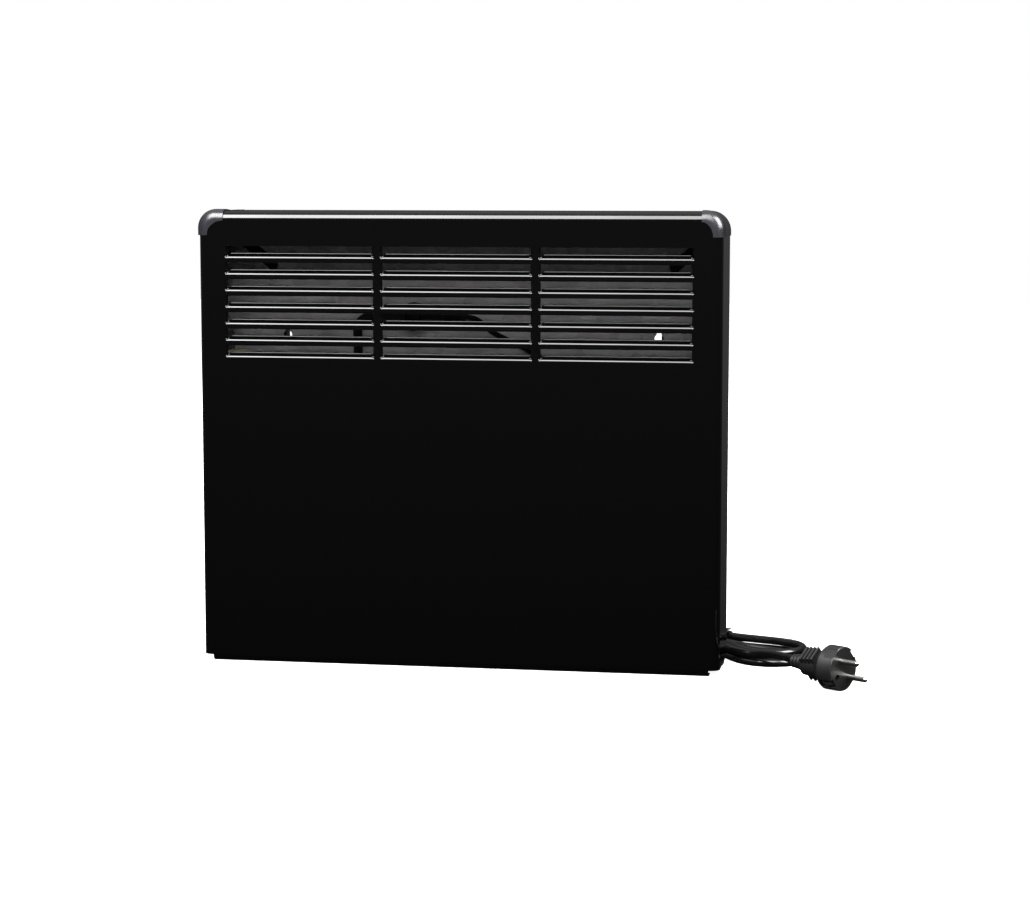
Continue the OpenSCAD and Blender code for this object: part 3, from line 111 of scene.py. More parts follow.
@dataclass
class Coating:
    """A material under construction: its tree, its shader and the object coordinates that patterns follow."""

    name: str
    values: dict[str, object]
    material: Material = field(init=False)
    tree: NodeTree = field(init=False)
    shader: Node = field(init=False)
    coords: dict[str, tuple[Node, str]] = field(init=False)

    def __post_init__(self) -> None:
        """Makes the material with an empty tree, a shader with these values and its output."""
        self.material = bpy.data.materials.new(self.name)
        self.material.use_nodes = True
        self.tree = self.material.node_tree
        self.tree.nodes.clear()
        self.shader = add_node(self.tree, "BsdfPrincipled", self.values)
        self.coords = {"Vector": (add_node(self.tree, "TexCoord"), "Object")}
        add_node(self.tree, "OutputMaterial", links={"Surface": (self.shader, "BSDF")})

    def wear(self, patterns: dict[str, tuple[Node, str | int]]) -> Material:
        """Links patterns to the shader.

        Args:
            patterns: Socket name to (node, output name or index).

        Returns:
            The material.
        """
        for socket, (source, output) in patterns.items():
            self.tree.links.new(source.outputs[output], self.shader.inputs[socket])
        return self.material

    def relief(self, size_mm: float, height_mm: float, **settings: float) -> Node:
        """Raises the surface by a noise.

        Args:
            size_mm: Size of its grains.
            height_mm: Height of its grains.
            settings: The noise's other inputs.

        Returns:
            The noise's node.
        """
        grain = add_node(self.tree, "TexNoise", {"Scale": per_metre(size_mm), **settings}, self.coords)
        bump = add_node(self.tree, "Bump", {"Distance": height_mm * MM, "Strength": 1.0},
                        {"Height": (grain, "Fac")})
        self.wear({"Normal": (bump, "Normal")})
        return grain

    def tint(self, colour: str, source: Node, span: dict[str, float]) -> None:
        """Gives the surface a colour that a noise makes lighter and darker.

        Args:
            colour: Six hex digits with a leading hash sign.
            source: The noise's node.
            span: Range of the factor on the colour's value.
        """
        shade = add_node(self.tree, "MapRange", span, {"Value": (source, "Fac")})
        tone = add_node(self.tree, "HueSaturation", {"Color": linear(colour)}, {"Value": (shade, "Result")})
        self.wear({"Base Color": (tone, "Color")})


@dataclass(frozen=True)
class PowderCoat:
    """Baked powder coat on steel: an even film with the faint ripple of melted powder."""

    name: str
    colour: str
    roughness: float
    ripple_mm: float = 1.8
    ripple_height_mm: float = 0.0015
    cloud_mm: float = 60.0
    cloud_spread: float = 0.015
    ior: float = 1.5

    def material(self) -> Material:
        """Builds the material.

        Returns:
            The material.
        """
        coat = Coating(self.name, {"Base Color": linear(self.colour), "IOR": self.ior})
        coat.relief(self.ripple_mm, self.ripple_height_mm, Detail=2.0, Roughness=0.4)
        cloud = add_node(coat.tree, "TexNoise", {"Scale": per_metre(self.cloud_mm), "Detail": 3.0},
                         coat.coords)
        gloss = band(self.roughness, self.cloud_spread, self.cloud_spread)
        rough = add_node(coat.tree, "MapRange", gloss, {"Value": (cloud, "Fac")})
        return coat.wear({"Roughness": (rough, "Result")})


@dataclass(frozen=True)
class GrainedPlastic:
    """Moulded plastic or fired clay with its mould's fine pits, which break up the gloss."""

    name: str
    colour: str
    roughness: float
    grain_mm: float = 0.5
    grain_height_mm: float = 0.02
    grain_spread: float = 0.05
    flow_mm: float = 18.0
    flow_spread: float = 0.1
    ior: float = 1.5

    def material(self) -> Material:
        """Builds the material.

        Returns:
            The material.
        """
        coat = Coating(self.name, {"IOR": self.ior})
        grain = coat.relief(self.grain_mm, self.grain_height_mm, Detail=3.0, Roughness=0.6)
        flow = add_node(coat.tree, "TexNoise", {"Scale": per_metre(self.flow_mm), "Detail": 2.0},
                        coat.coords)
        coat.tint(self.colour, flow, band(1.0, self.flow_spread, self.flow_spread))
        gloss = band(self.roughness, self.grain_spread, self.grain_spread)
        rough = add_node(coat.tree, "MapRange", gloss, {"Value": (grain, "Fac")})
        return coat.wear({"Roughness": (rough, "Result")})


@dataclass(frozen=True)
class SpangledZinc:
    """Hot-dip galvanised sheet: zinc crystals of one or two tones, each with its own gloss."""

    name: str
    light: str
    dark: str
    metallic: float = 0.45
    spangle_mm: float = 9.0
    warp_mm: float = 14.0
    warp_share: float = 0.012
    roughness: Pair = (0.32, 0.5)
    roll_mm: float = 1.5
    roll_height_mm: float = 0.01

    def material(self) -> Material:
        """Builds the material.

        Returns:
            The material.
        """
        coat = Coating(self.name, {"Metallic": self.metallic})
        warp = add_node(coat.tree, "TexNoise", {"Scale": per_metre(self.warp_mm), "Detail": 3.0},
                        coat.coords)
        shift = add_node(coat.tree, "Mix", {"Factor": self.warp_share},
                         {4: coat.coords["Vector"], 5: (warp, "Color")}, data_type="VECTOR")
        crystal = add_node(coat.tree, "TexVoronoi", {"Scale": per_metre(self.spangle_mm)},
                           {"Vector": (shift, 1)})
        spread = add_node(coat.tree, "SeparateColor", links={"Color": (crystal, "Color")})
        tone = add_node(coat.tree, "Mix", {6: linear(self.dark), 7: linear(self.light)},
                        {"Factor": (spread, "Red")}, data_type="RGBA")
        low, high = self.roughness
        rough = add_node(coat.tree, "MapRange", {"To Min": low, "To Max": high},
                         {"Value": (spread, "Green")})
        coat.relief(self.roll_mm, self.roll_height_mm, Detail=2.0)
        return coat.wear({"Base Color": (tone, 2), "Roughness": (rough, "Result")})


@dataclass(frozen=True)
class PlatedMetal:
    """Plated, turned or rolled metal part: a clean metal with fine handling marks and a slight stain."""

    name: str
    colour: str
    stain: str
    roughness: float
    stain_mm: float = 6.0
    mark_mm: float = 0.6
    mark_spread: Pair = (0.06, 0.08)
    mark_height_mm: float = 0.004

    def material(self) -> Material:
        """Builds the material.

        Returns:
            The material.
        """
        coat = Coating(self.name, {"Metallic": 1.0})
        stain = add_node(coat.tree, "TexNoise", {"Scale": per_metre(self.stain_mm), "Detail": 4.0},
                         coat.coords)
        tone = add_node(coat.tree, "Mix", {6: linear(self.colour), 7: linear(self.stain)},
                        {"Factor": (stain, "Fac")}, data_type="RGBA")
        marks = coat.relief(self.mark_mm, self.mark_height_mm, Detail=3.0)
        rough = add_node(coat.tree, "MapRange", band(self.roughness, *self.mark_spread),
                         {"Value": (marks, "Fac")})
        return coat.wear({"Base Color": (tone, 2), "Roughness": (rough, "Result")})


@dataclass(frozen=True)
class SoftSheath:
    """Extruded or moulded soft PVC, rubber or silicone, with the faint drag lines of its die."""

    name: str
    colour: str
    roughness: float
    drag_mm: float = 0.9
    drag_height_mm: float = 0.012
    haze_mm: float = 12.0
    haze_spread: float = 0.08
    shade: Pair = (0.2, 0.25)
    ior: float = 1.52

    def material(self) -> Material:
        """Builds the material.

        Returns:
            The material.
        """
        coat = Coating(self.name, {"IOR": self.ior})
        coat.relief(self.drag_mm, self.drag_height_mm, Detail=3.0, Roughness=0.55)
        haze = add_node(coat.tree, "TexNoise", {"Scale": per_metre(self.haze_mm), "Detail": 3.0},
                        coat.coords)
        coat.tint(self.colour, haze, band(1.0, *self.shade))
        gloss = band(self.roughness, self.haze_spread, self.haze_spread)
        rough = add_node(coat.tree, "MapRange", gloss, {"Value": (haze, "Fac")})
        return coat.wear({"Roughness": (rough, "Result")})


Finish = PowderCoat | GrainedPlastic | SpangledZinc | PlatedMetal | SoftSheath

# Satin powder coat, baked on steel: nearly black face on, a clear bright line along every bend
CASING_COAT = PowderCoat("satin_powder_coat", "#020202", 0.075)
# The bracket's powder coat, sprayed thinner: dull and even
BRACKET_COAT = PowderCoat("bracket_powder_coat", "#070707", 0.5, 1.6, 0.006)
# Glass-filled nylon of the caps, moulded and etched: dark grey with a soft bright spot
CAP_PLASTIC = GrainedPlastic("cap_plastic", "#1f1f23", 0.24, 1.1, 0.03)
# ABS of the control panel, from a rougher mould: grey and matt
PANEL_PLASTIC = GrainedPlastic("panel_plastic", "#2a2a2c", 0.5, 0.6, 0.03)
# Moulded nylon of the holder, gland and clips: black with little gloss
DARK_PLASTIC = GrainedPlastic("dark_plastic", "#0b0b0b", 0.5)
# Polished phenolic of the switch and limiter: black with sharp highlights
SWITCH_PLASTIC = GrainedPlastic("switch_plastic", "#0f0f0f", 0.24, 1.2, 0.006)
# Polished polycarbonate of the rocker: the one strong red
ROCKER_PLASTIC = GrainedPlastic("rocker_plastic", "#a3120d", 0.18, 1.5, 0.005)
# Moulded ABS of the knob: black, with a gloss that shows its ribs
KNOB_PLASTIC = GrainedPlastic("knob_plastic", "#1d1d1e", 0.4, 0.8, 0.012)
# Moulded phenolic of the thermostat: warm cream
PHENOLIC = GrainedPlastic("phenolic", "#d9cda9", 0.32, 1.4, 0.01)
# Moulded polyamide of the terminal block: off-white
WHITE_PLASTIC = GrainedPlastic("block_plastic", "#e2dfd4", 0.4, 1.0, 0.01)
# Pad-print ink of the scale and pointer: matt white
PRINT_INK = GrainedPlastic("pad_print_ink", "#dcdcd8", 0.5, 0.5, 0.005)
# Fired steatite beads at the rod's ends: chalky and pale
CERAMIC = GrainedPlastic("fired_ceramic", "#d8d1bd", 0.5, 0.4, 0.03)
# Hot-dip galvanised steel of the rear panel and element brackets: grey flakes behind the louvres
GALVANISED = SpangledZinc("galvanised_sheet", "#b5b4b6", "#a09fa1")
# Zinc-plated steel of the screws: bluish white
ZINC = PlatedMetal("zinc_plate", "#c5c8cb", "#aeb2b4", 0.3)
# Rolled aluminium of the fins: pale with a broad gloss
ALUMINIUM = PlatedMetal("mill_aluminium", "#d3d4d6", "#c2c3c5", 0.34)
# Stainless steel of the rod, tinted by heat: brownish
ROD_STEEL = PlatedMetal("heat_tinted_steel", "#8d8378", "#6f6257", 0.36)
# Turned steel of the thermostat's shaft: neutral and bright
SHAFT_STEEL = PlatedMetal("turned_steel", "#c4c4c5", "#b1b1b2", 0.28)
# Nickel-plated brass of the pins, clips and tabs: almost a mirror, faintly warm
NICKEL = PlatedMetal("nickel_plate", "#dddcd8", "#cfcdc8", 0.16)
# Turned brass of the terminal and earth screws: yellow
BRASS = PlatedMetal("plain_brass", "#cfae66", "#b39050", 0.28)
# Extruded PVC of the mains lead: black with narrow bright streaks
CORD_PVC = SoftSheath("cord_pvc", "#060606", 0.2)
# Moulded PVC of the plug: dark grey, duller than its lead
PLUG_PVC = SoftSheath("plug_pvc", "#101010", 0.4, 0.6)
# Varnished glass braid on the limiter's leads: dull black
SLEEVE = SoftSheath("glass_sleeve", "#090909", 0.6, 0.5)
# Moulded silicone rubber of the rod's bushes: brick red
SILICONE = SoftSheath("silicone", "#8c2b1f", 0.5)
# Extruded PVC of the cores and wires, in the standard colours
BROWN = SoftSheath("brown_insulation", "#5a3419", 0.4)
BLUE = SoftSheath("blue_insulation", "#1e3f8f", 0.4)
GREEN = SoftSheath("green_insulation", "#4d8a26", 0.4)
# Moulded nylon of the hank's tie: black without gloss
TIE = SoftSheath("tie_nylon", "#121212", 0.6)

NODE_FINISHES: dict[Finish, tuple[str, ...]] = {
    GALVANISED: ("rear_panel", "element_bracket_left", "element_bracket_right"),
    BRACKET_COAT: ("wall_bracket",),
    PANEL_PLASTIC: ("control_panel",),
    KNOB_PLASTIC: ("thermostat_knob",),
    ROCKER_PLASTIC: ("power_rocker",),
    SWITCH_PLASTIC: ("switch_body", "limiter_body"),
    DARK_PLASTIC: ("limiter_holder", "cord_gland", "gland_nut", "bracket_clips"),
    PHENOLIC: ("thermostat_body",),
    WHITE_PLASTIC: ("terminal_block",),
    CERAMIC: ("rod_seals",),
    SILICONE: ("element_bushes",),
    ALUMINIUM: ("heating_fins",),
    ROD_STEEL: ("heating_rod",),
    SHAFT_STEEL: ("thermostat_shaft",),
    ZINC: ("casing_screws", "control_screws", "element_screws"),
    NICKEL: ("rod_terminals", "plug_pins", "plug_earth_clips"),
    BRASS: ("terminal_screws", "earth_screw"),
    CORD_PVC: ("cord_stub",),
    PLUG_PVC: ("plug_body",),
    TIE: ("cord_tie",),
}


def dress(piece: Object, material: Material) -> None:
    """Gives every slot of a piece the same material.

    Args:
        piece: Object of a mesh or curve.
        material: Its material.
    """
    if not piece.material_slots:
        piece.data.materials.append(None)
    for slot in piece.material_slots:
        slot.link = "OBJECT"
        slot.material = material


def add_object(name: str, data: ID) -> Object:
    """Makes an object and puts it in the scene.

    Args:
        name: Name of the object.
        data: Its mesh, curve, light or camera.

    Returns:
        The object.
    """
    made = bpy.data.objects.new(name, data)
    bpy.context.scene.collection.objects.link(made)
    return made


def smooth_path(points: list[Vector], steps: int) -> list[Vector]:
    """Runs a smooth curve through points.

    Args:
        points: Points that the curve passes.
        steps: Pieces into which each stretch is cut.

    Returns:
        Points along the curve, with the first and last of the given ones at its ends.
    """
    ends = [2 * points[0] - points[1], *points, 2 * points[-1] - points[-2]]
    curve = []
    for a, b, c, d in zip(ends, ends[1:], ends[2:], ends[3:]):
        for k in range(steps):
            t = k / steps
            curve.append(0.5 * (2 * b + (c - a) * t + (2 * a - 5 * b + 4 * c - d) * t * t
                                + (3 * b - a - 3 * c + d) * t ** 3))
    return curve + [points[-1]]


def sweep(name: str, points: list[Vector], depth: float, radii: list[float], fineness: int) -> Object:
    """Makes a round cord or wire along a line.

    Args:
        name: Name of the object.
        points: Its centre line, in millimetres.
        depth: Radius of the curve's bevel, in millimetres.
        radii: Factor on that radius at each point.
        fineness: Blender's resolution of the bevel.

    Returns:
        The curve's object.
    """
    curve = bpy.data.curves.new(name, "CURVE")
    curve.dimensions = "3D"
    curve.bevel_depth = depth * MM
    curve.bevel_resolution = fineness
    curve.use_fill_caps = True
    spline = curve.splines.new("POLY")
    spline.points.add(len(points) - 1)
    for spot, point, radius in zip(spline.points, points, radii):
        spot.co = (*(point * MM), 1.0)
        spot.radius = radius
    spline.use_smooth = True
    return add_object(name, curve)


def arc(count: int, start: float = 0.0, end: float = 90.0) -> list[float]:
    """Angles in radians, evenly spread over an arc given in degrees."""
    return [math.radians(start + (end - start) * i / count) for i in range(count + 1)]


def ease(t: float) -> float:
    """Smooth step from 0 to 1."""
    t = min(1.0, max(0.0, t))
    return t * t * (3 - 2 * t)


def inside(spot: Vector, loop: list[Vector]) -> bool:
    """Whether a point lies inside a closed outline.

    Args:
        spot: Point in the plane.
        loop: Corners of the outline.

    Returns:
        True if a ray from the point crosses the outline an odd number of times.
    """
    hit = False
    for a, b in zip(loop, loop[1:] + loop[:1]):
        if (a.y > spot.y) != (b.y > spot.y) and spot.x < (b.x - a.x) * (spot.y - a.y) / (b.y - a.y) + a.x:
            hit = not hit
    return hit


@dataclass
class SheetMesh:
    """Middle-free skin of a pressed or moulded sheet, in millimetres, welded where its patches meet."""

    points: list[Vector] = field(default_factory=list)
    faces: list[tuple[int, ...]] = field(default_factory=list)
    known: dict[tuple[float, ...], int] = field(default_factory=dict)

    def spot(self, point: Vector) -> int:
        """Finds the number of a point, which is made new unless it is there already.

        Args:
            point: Its place.

        Returns:
            Its number.
        """
        key = tuple(round(v, 3) + 0.0 for v in point)
        if key not in self.known:
            self.known[key] = len(self.points)
            self.points.append(Vector(point))
        return self.known[key]

    def patch(self, rows: list[list[Vector]]) -> None:
        """Adds four-sided faces between neighbouring rows of points.

        Args:
            rows: The rows, all with the same count of points.
        """
        numbers = [[self.spot(p) for p in row] for row in rows]
        for low, high in zip(numbers, numbers[1:]):
            for a, b, c, d in zip(low, low[1:], high[1:], high):
                corners = tuple(dict.fromkeys((a, b, c, d)))
                if len(corners) > 2:
                    self.faces.append(corners)

    def plate(self, outline: list[Vector], holes: list[list[Vector]]) -> None:
        """Adds a flat plate with holes, cut into well-shaped triangles.

        Args:
            outline: Its outline, in a plane across one axis.
            holes: Outlines of its holes.
        """
        loops = [outline, *holes]
        points = [p for loop in loops for p in loop]
        axes = [i for i in range(3) if max(p[i] for p in points) - min(p[i] for p in points) > CLOSE]
        flat = [[Vector([p[i] for i in axes]) for p in loop] for loop in loops]
        edges, first = [], 0
        for loop in loops:
            edges += [(first + i, first + (i + 1) % len(loop)) for i in range(len(loop))]
            first += len(loop)
        corners_flat = [p for loop in flat for p in loop]
        places, _, triangles, sources, _, _ = delaunay_2d_cdt(corners_flat, edges, [], 1, CLOSE)
        for corners in triangles:
            middle = sum((places[i] for i in corners), Vector((0, 0))) / 3
            if not any(inside(middle, loop) for loop in flat[1:]):
                self.faces.append(tuple(self.spot(points[sources[i][0]]) for i in corners))

    def piece(self, name: str, outward: Vector, thickness: float, bevel: float) -> Object:
        """Turns the skin into a sheet of real thickness.

        Args:
            name: Name of the object.
            outward: Direction in which the first face looks from outside.
            thickness: Thickness that is added inside the skin, in millimetres.
            bevel: Width of the rounding on the sheet's cut edges, in millimetres.

        Returns:
            The object, with its modifiers applied, smooth but for its sharp edges.
        """
        mesh = bpy.data.meshes.new(name)
        mesh.from_pydata([p * MM for p in self.points], [], self.faces)
        solid = bmesh.new()
        solid.from_mesh(mesh)
        bmesh.ops.recalc_face_normals(solid, faces=solid.faces)
        solid.faces.ensure_lookup_table()
        if solid.faces[0].normal.dot(outward) < 0:
            bmesh.ops.reverse_faces(solid, faces=solid.faces)
        solid.to_mesh(mesh)
        solid.free()
        raw = add_object(name + "_skin", mesh)
        shell = raw.modifiers.new("thickness", "SOLIDIFY")
        shell.thickness = thickness * MM
        shell.offset = -1.0
        shell.use_quality_normals = True
        if bevel > 0:
            edge = raw.modifiers.new("rounding", "BEVEL")
            edge.width = bevel * MM
            edge.segments = 2
            edge.limit_method = "ANGLE"
            edge.angle_limit = math.radians(CUT)
            edge.use_clamp_overlap = True
        done = bpy.data.meshes.new_from_object(raw.evaluated_get(bpy.context.evaluated_depsgraph_get()))
        done.name = name
        bpy.data.objects.remove(raw)
        bpy.data.meshes.remove(mesh)
        done.shade_smooth()
        even_normals(done)
        return add_object(name, done)


def even_normals(mesh: Mesh) -> None:
    """Gives flats their own normal right up to the bends beside them, and runs the bends smoothly into them.

    Args:
        mesh: The mesh. Its flats look along an axis, and its bends do not.
    """
    limit = math.cos(math.radians(SHARP))
    faces = []
    for face in mesh.polygons:
        flat = max(abs(c) for c in face.normal) > 1 - TILT
        faces.append((face.normal.copy(), 1.0 if flat else face.area ** 2))
    around: list[list[int]] = [[] for _ in mesh.vertices]
    for face in mesh.polygons:
        for corner in face.vertices:
            around[corner].append(face.index)
    normals = []
    for face in mesh.polygons:
        own = face.normal
        for corner in face.vertices:
            near = [faces[i] for i in around[corner] if faces[i][0].dot(own) > limit]
            normals.append(sum((normal * weight for normal, weight in near), Vector()).normalized())
    mesh.normals_split_custom_set(normals)


@dataclass
class Casing:
    """Pressed front casing: louvred front, rolled edges, side plates, top plate and return flanges."""

    width: float = 451.0
    height: float = 391.0
    depth: float = 70.0
    front: float = -41.6
    sheet: float = 1.0
    edge_radius: float = 8.0
    corner_radius: float = 17.0
    back_radius: float = 1.5
    flange: float = 11.0
    side_gap: float = 5.5
    lip_radius: float = 6.0
    lip_depth: float = 16.0
    notch: float = 1.2
    columns: int = 3
    rows: int = 7
    web: float = 3.0
    grille_side: float = 22.7
    grille_top: float = 29.8
    louvre_pitch: float = 14.2
    louvre_lip: float = 5.0
    louvre_foot: Pair = (2.9, 37.0)
    louvre_rim: float = 0.75
    louvre_gap: float = 6.0
    louvre_side: float = 2.0
    louvre_corner: float = 2.5
    louvre_ramp: float = 2.4
    steps: int = 8
    roll_steps: int = 10
    rim_steps: int = 3
    corner_steps: int = 6
    small_steps: int = 4
    cut_steps: int = 5
    burr: float = 0.15
    # The opening for the controls: middle in y and z, width, height and corner radius
    controls: tuple[float, ...] = (-2.6, 232.0, 50.0, 108.0, 8.0)

    def at(self, x: float, depth: float, z: float) -> Vector:
        """Point at a depth behind the front face."""
        return Vector((x, self.front + depth, z))

    def lip_section(self, clip: float) -> list[Pair]:
        """Section of the pressed lip: a tight foot, a wide roll, a cut-out's small radius, the edge's rim.

        Args:
            clip: Angle in radians from which the small radius goes on to the end.

        Returns:
            Pairs of distance into the opening and depth.
        """
        foot, turn = self.louvre_foot[0], math.radians(self.louvre_foot[1])
        wide = (self.louvre_lip - foot * math.sin(turn)) / (1 - math.sin(turn))
        section, reach, depth = [(0.0, 0.0)], 0.0, 0.0
        angles = arc(self.roll_steps)
        for low, high in zip(angles, angles[1:]):
            radius = self.louvre_side if low >= clip else foot if low < turn else wide
            reach += radius * (math.sin(high) - math.sin(low))
            depth += radius * (math.cos(low) - math.cos(high))
            section.append((reach, depth))
        rim = self.louvre_rim
        return section + [(reach + rim * math.sin(a), depth + rim * (1 - math.cos(a)))
                          for a in arc(self.rim_steps)[1:]]

    def louvre_edge(self, left: float, base: float) -> list[tuple[Vector, Vector, float]]:
        """Edge of one opening from its upper left corner down, across and up again.

        Args:
            left: Its left side.
            base: Its lower edge, where the lip starts to roll in.

        Returns:
            For each point its place, the direction into the opening and the angle that cuts its lip short.
        """
        width = (self.width - 2 * self.grille_side - (self.columns - 1) * self.web) / self.columns
        top = base + self.louvre_lip + self.louvre_gap
        corner = self.louvre_corner
        half: list[tuple[float, ...]] = [(0, top, 1, 0, 0), (0, base + corner, 1, 0, 0)]
        half += [(corner * (1 - math.cos(a)), base + corner * (1 - math.sin(a)), math.cos(a), math.sin(a), 0)
                 for a in arc(self.corner_steps)[1:]]
        count = self.roll_steps
        half += [(corner + self.louvre_ramp * i / count, base, 0, 1, angle)
                 for i, angle in enumerate(arc(count)) if i]
        edge = [(self.at(left + x, 0, z), Vector((nx, 0, nz)), clip) for x, z, nx, nz, clip in half]
        return edge + [(self.at(left + width - x, 0, z), Vector((-nx, 0, nz)), clip)
                       for x, z, nx, nz, clip in reversed(half)]

    def openings(self) -> list[list[tuple[Vector, Vector, float]]]:
        """Lays out the grille.

        Returns:
            The edge of every opening.
        """
        width = self.width - 2 * self.grille_side
        pitch = (width + self.web) / self.columns
        top = self.height - self.grille_top - self.louvre_gap - self.louvre_lip
        return [self.louvre_edge(-width / 2 + column * pitch, top - row * self.louvre_pitch)
                for column in range(self.columns) for row in range(self.rows)]

    def front_plate(self, skin: SheetMesh) -> None:
        """Adds the flat front with its openings, and the roll round each.

        Args:
            skin: Mesh that takes them.
        """
        half = self.width / 2 - self.edge_radius
        cx, cz = self.width / 2 - self.corner_radius, self.height - self.corner_radius
        r = self.corner_radius - self.edge_radius
        inner = half - self.notch
        outline = [self.at(inner, 0, self.lip_radius), self.at(inner, 0, self.side_gap),
                   self.at(half, 0, self.side_gap)]
        outline += [self.at(cx + r * math.cos(a), 0, cz + r * math.sin(a)) for a in arc(self.steps)]
        outline += [Vector((-p.x, p.y, p.z)) for p in reversed(outline)]
        edges = self.openings()
        skin.plate(outline, [[point for point, _, _ in edge] for edge in edges])
        for edge in edges:
            sections = [[point + reach * inward + Vector((0, depth, 0))
                         for reach, depth in self.lip_section(clip)] for point, inward, clip in edge]
            skin.patch([list(row) for row in zip(*sections)])

    def bent_edge(self, tangent: float) -> list[Pair]:
        """Section of a bend: the front bend, the run to the back and the return flange.

        Args:
            tangent: Where the flat front ends, measured outwards.

        Returns:
            Pairs of outward distance and depth.
        """
        big, small, depth = self.edge_radius, self.back_radius, self.depth
        section = [(tangent + big * math.sin(a), big * (1 - math.cos(a))) for a in arc(self.steps)]
        section += [(tangent + big - small * (1 - math.cos(a)), depth - small * (1 - math.sin(a)))
                    for a in arc(self.small_steps)]
        return section + [(tangent + big - self.flange, depth)]

    def build(self) -> None:
        """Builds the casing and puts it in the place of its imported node."""
        skin = SheetMesh()
        self.front_plate(skin)
        half, top = self.width / 2 - self.edge_radius, self.height - self.edge_radius
        cx, cz = self.width / 2 - self.corner_radius, self.height - self.corner_radius
        flat = self.steps
        for side in (-1, 1):
            rows = [[self.at(side * out, depth, z) for z in (self.side_gap, cz)]
                    for out, depth in self.bent_edge(half)]
            skin.patch(rows[:flat + 1])
            skin.patch(rows[flat + 1:])
            outline = [rows[flat][0], rows[flat][1], rows[flat + 1][1], rows[flat + 1][0]]
            skin.plate(outline, [self.control_cutout()] if side < 0 else [])
        skin.patch([[self.at(x, depth, out) for x in (-cx, cx)] for out, depth in self.bent_edge(top)])
        reach = half - self.notch
        lip = [(self.lip_radius * (1 - math.sin(a)), self.lip_radius * (1 - math.cos(a)))
               for a in arc(self.steps)]
        lip.append((0.0, self.lip_depth))
        skin.patch([[self.at(x, depth, z) for x in (-reach, reach)] for z, depth in lip])
        casing = skin.piece("front_casing_pressed", Vector((0, -1, 0)), self.sheet, self.burr)
        dress(casing, CASING_COAT.material())
        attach(casing, "heater")
        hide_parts("front_casing")
        LOG.info("front casing with %d louvres", self.columns * self.rows)

    def control_cutout(self) -> list[Vector]:
        """Draws the opening for the controls in the left side plate.

        Returns:
            Its outline.
        """
        y, z, wide, tall, r = self.controls
        points = []
        for quarter, (sy, sz) in enumerate(((1, 1), (-1, 1), (-1, -1), (1, -1))):
            points += [Vector((-self.width / 2, y + sy * (wide / 2 - r) + r * math.cos(a),
                               z + sz * (tall / 2 - r) + r * math.sin(a)))
                       for a in arc(self.cut_steps, 90 * quarter, 90 * quarter + 90)]
        return points


class Side(Enum):
    """The two sides of the heater, as the sign of x."""

    LEFT = -1
    RIGHT = 1


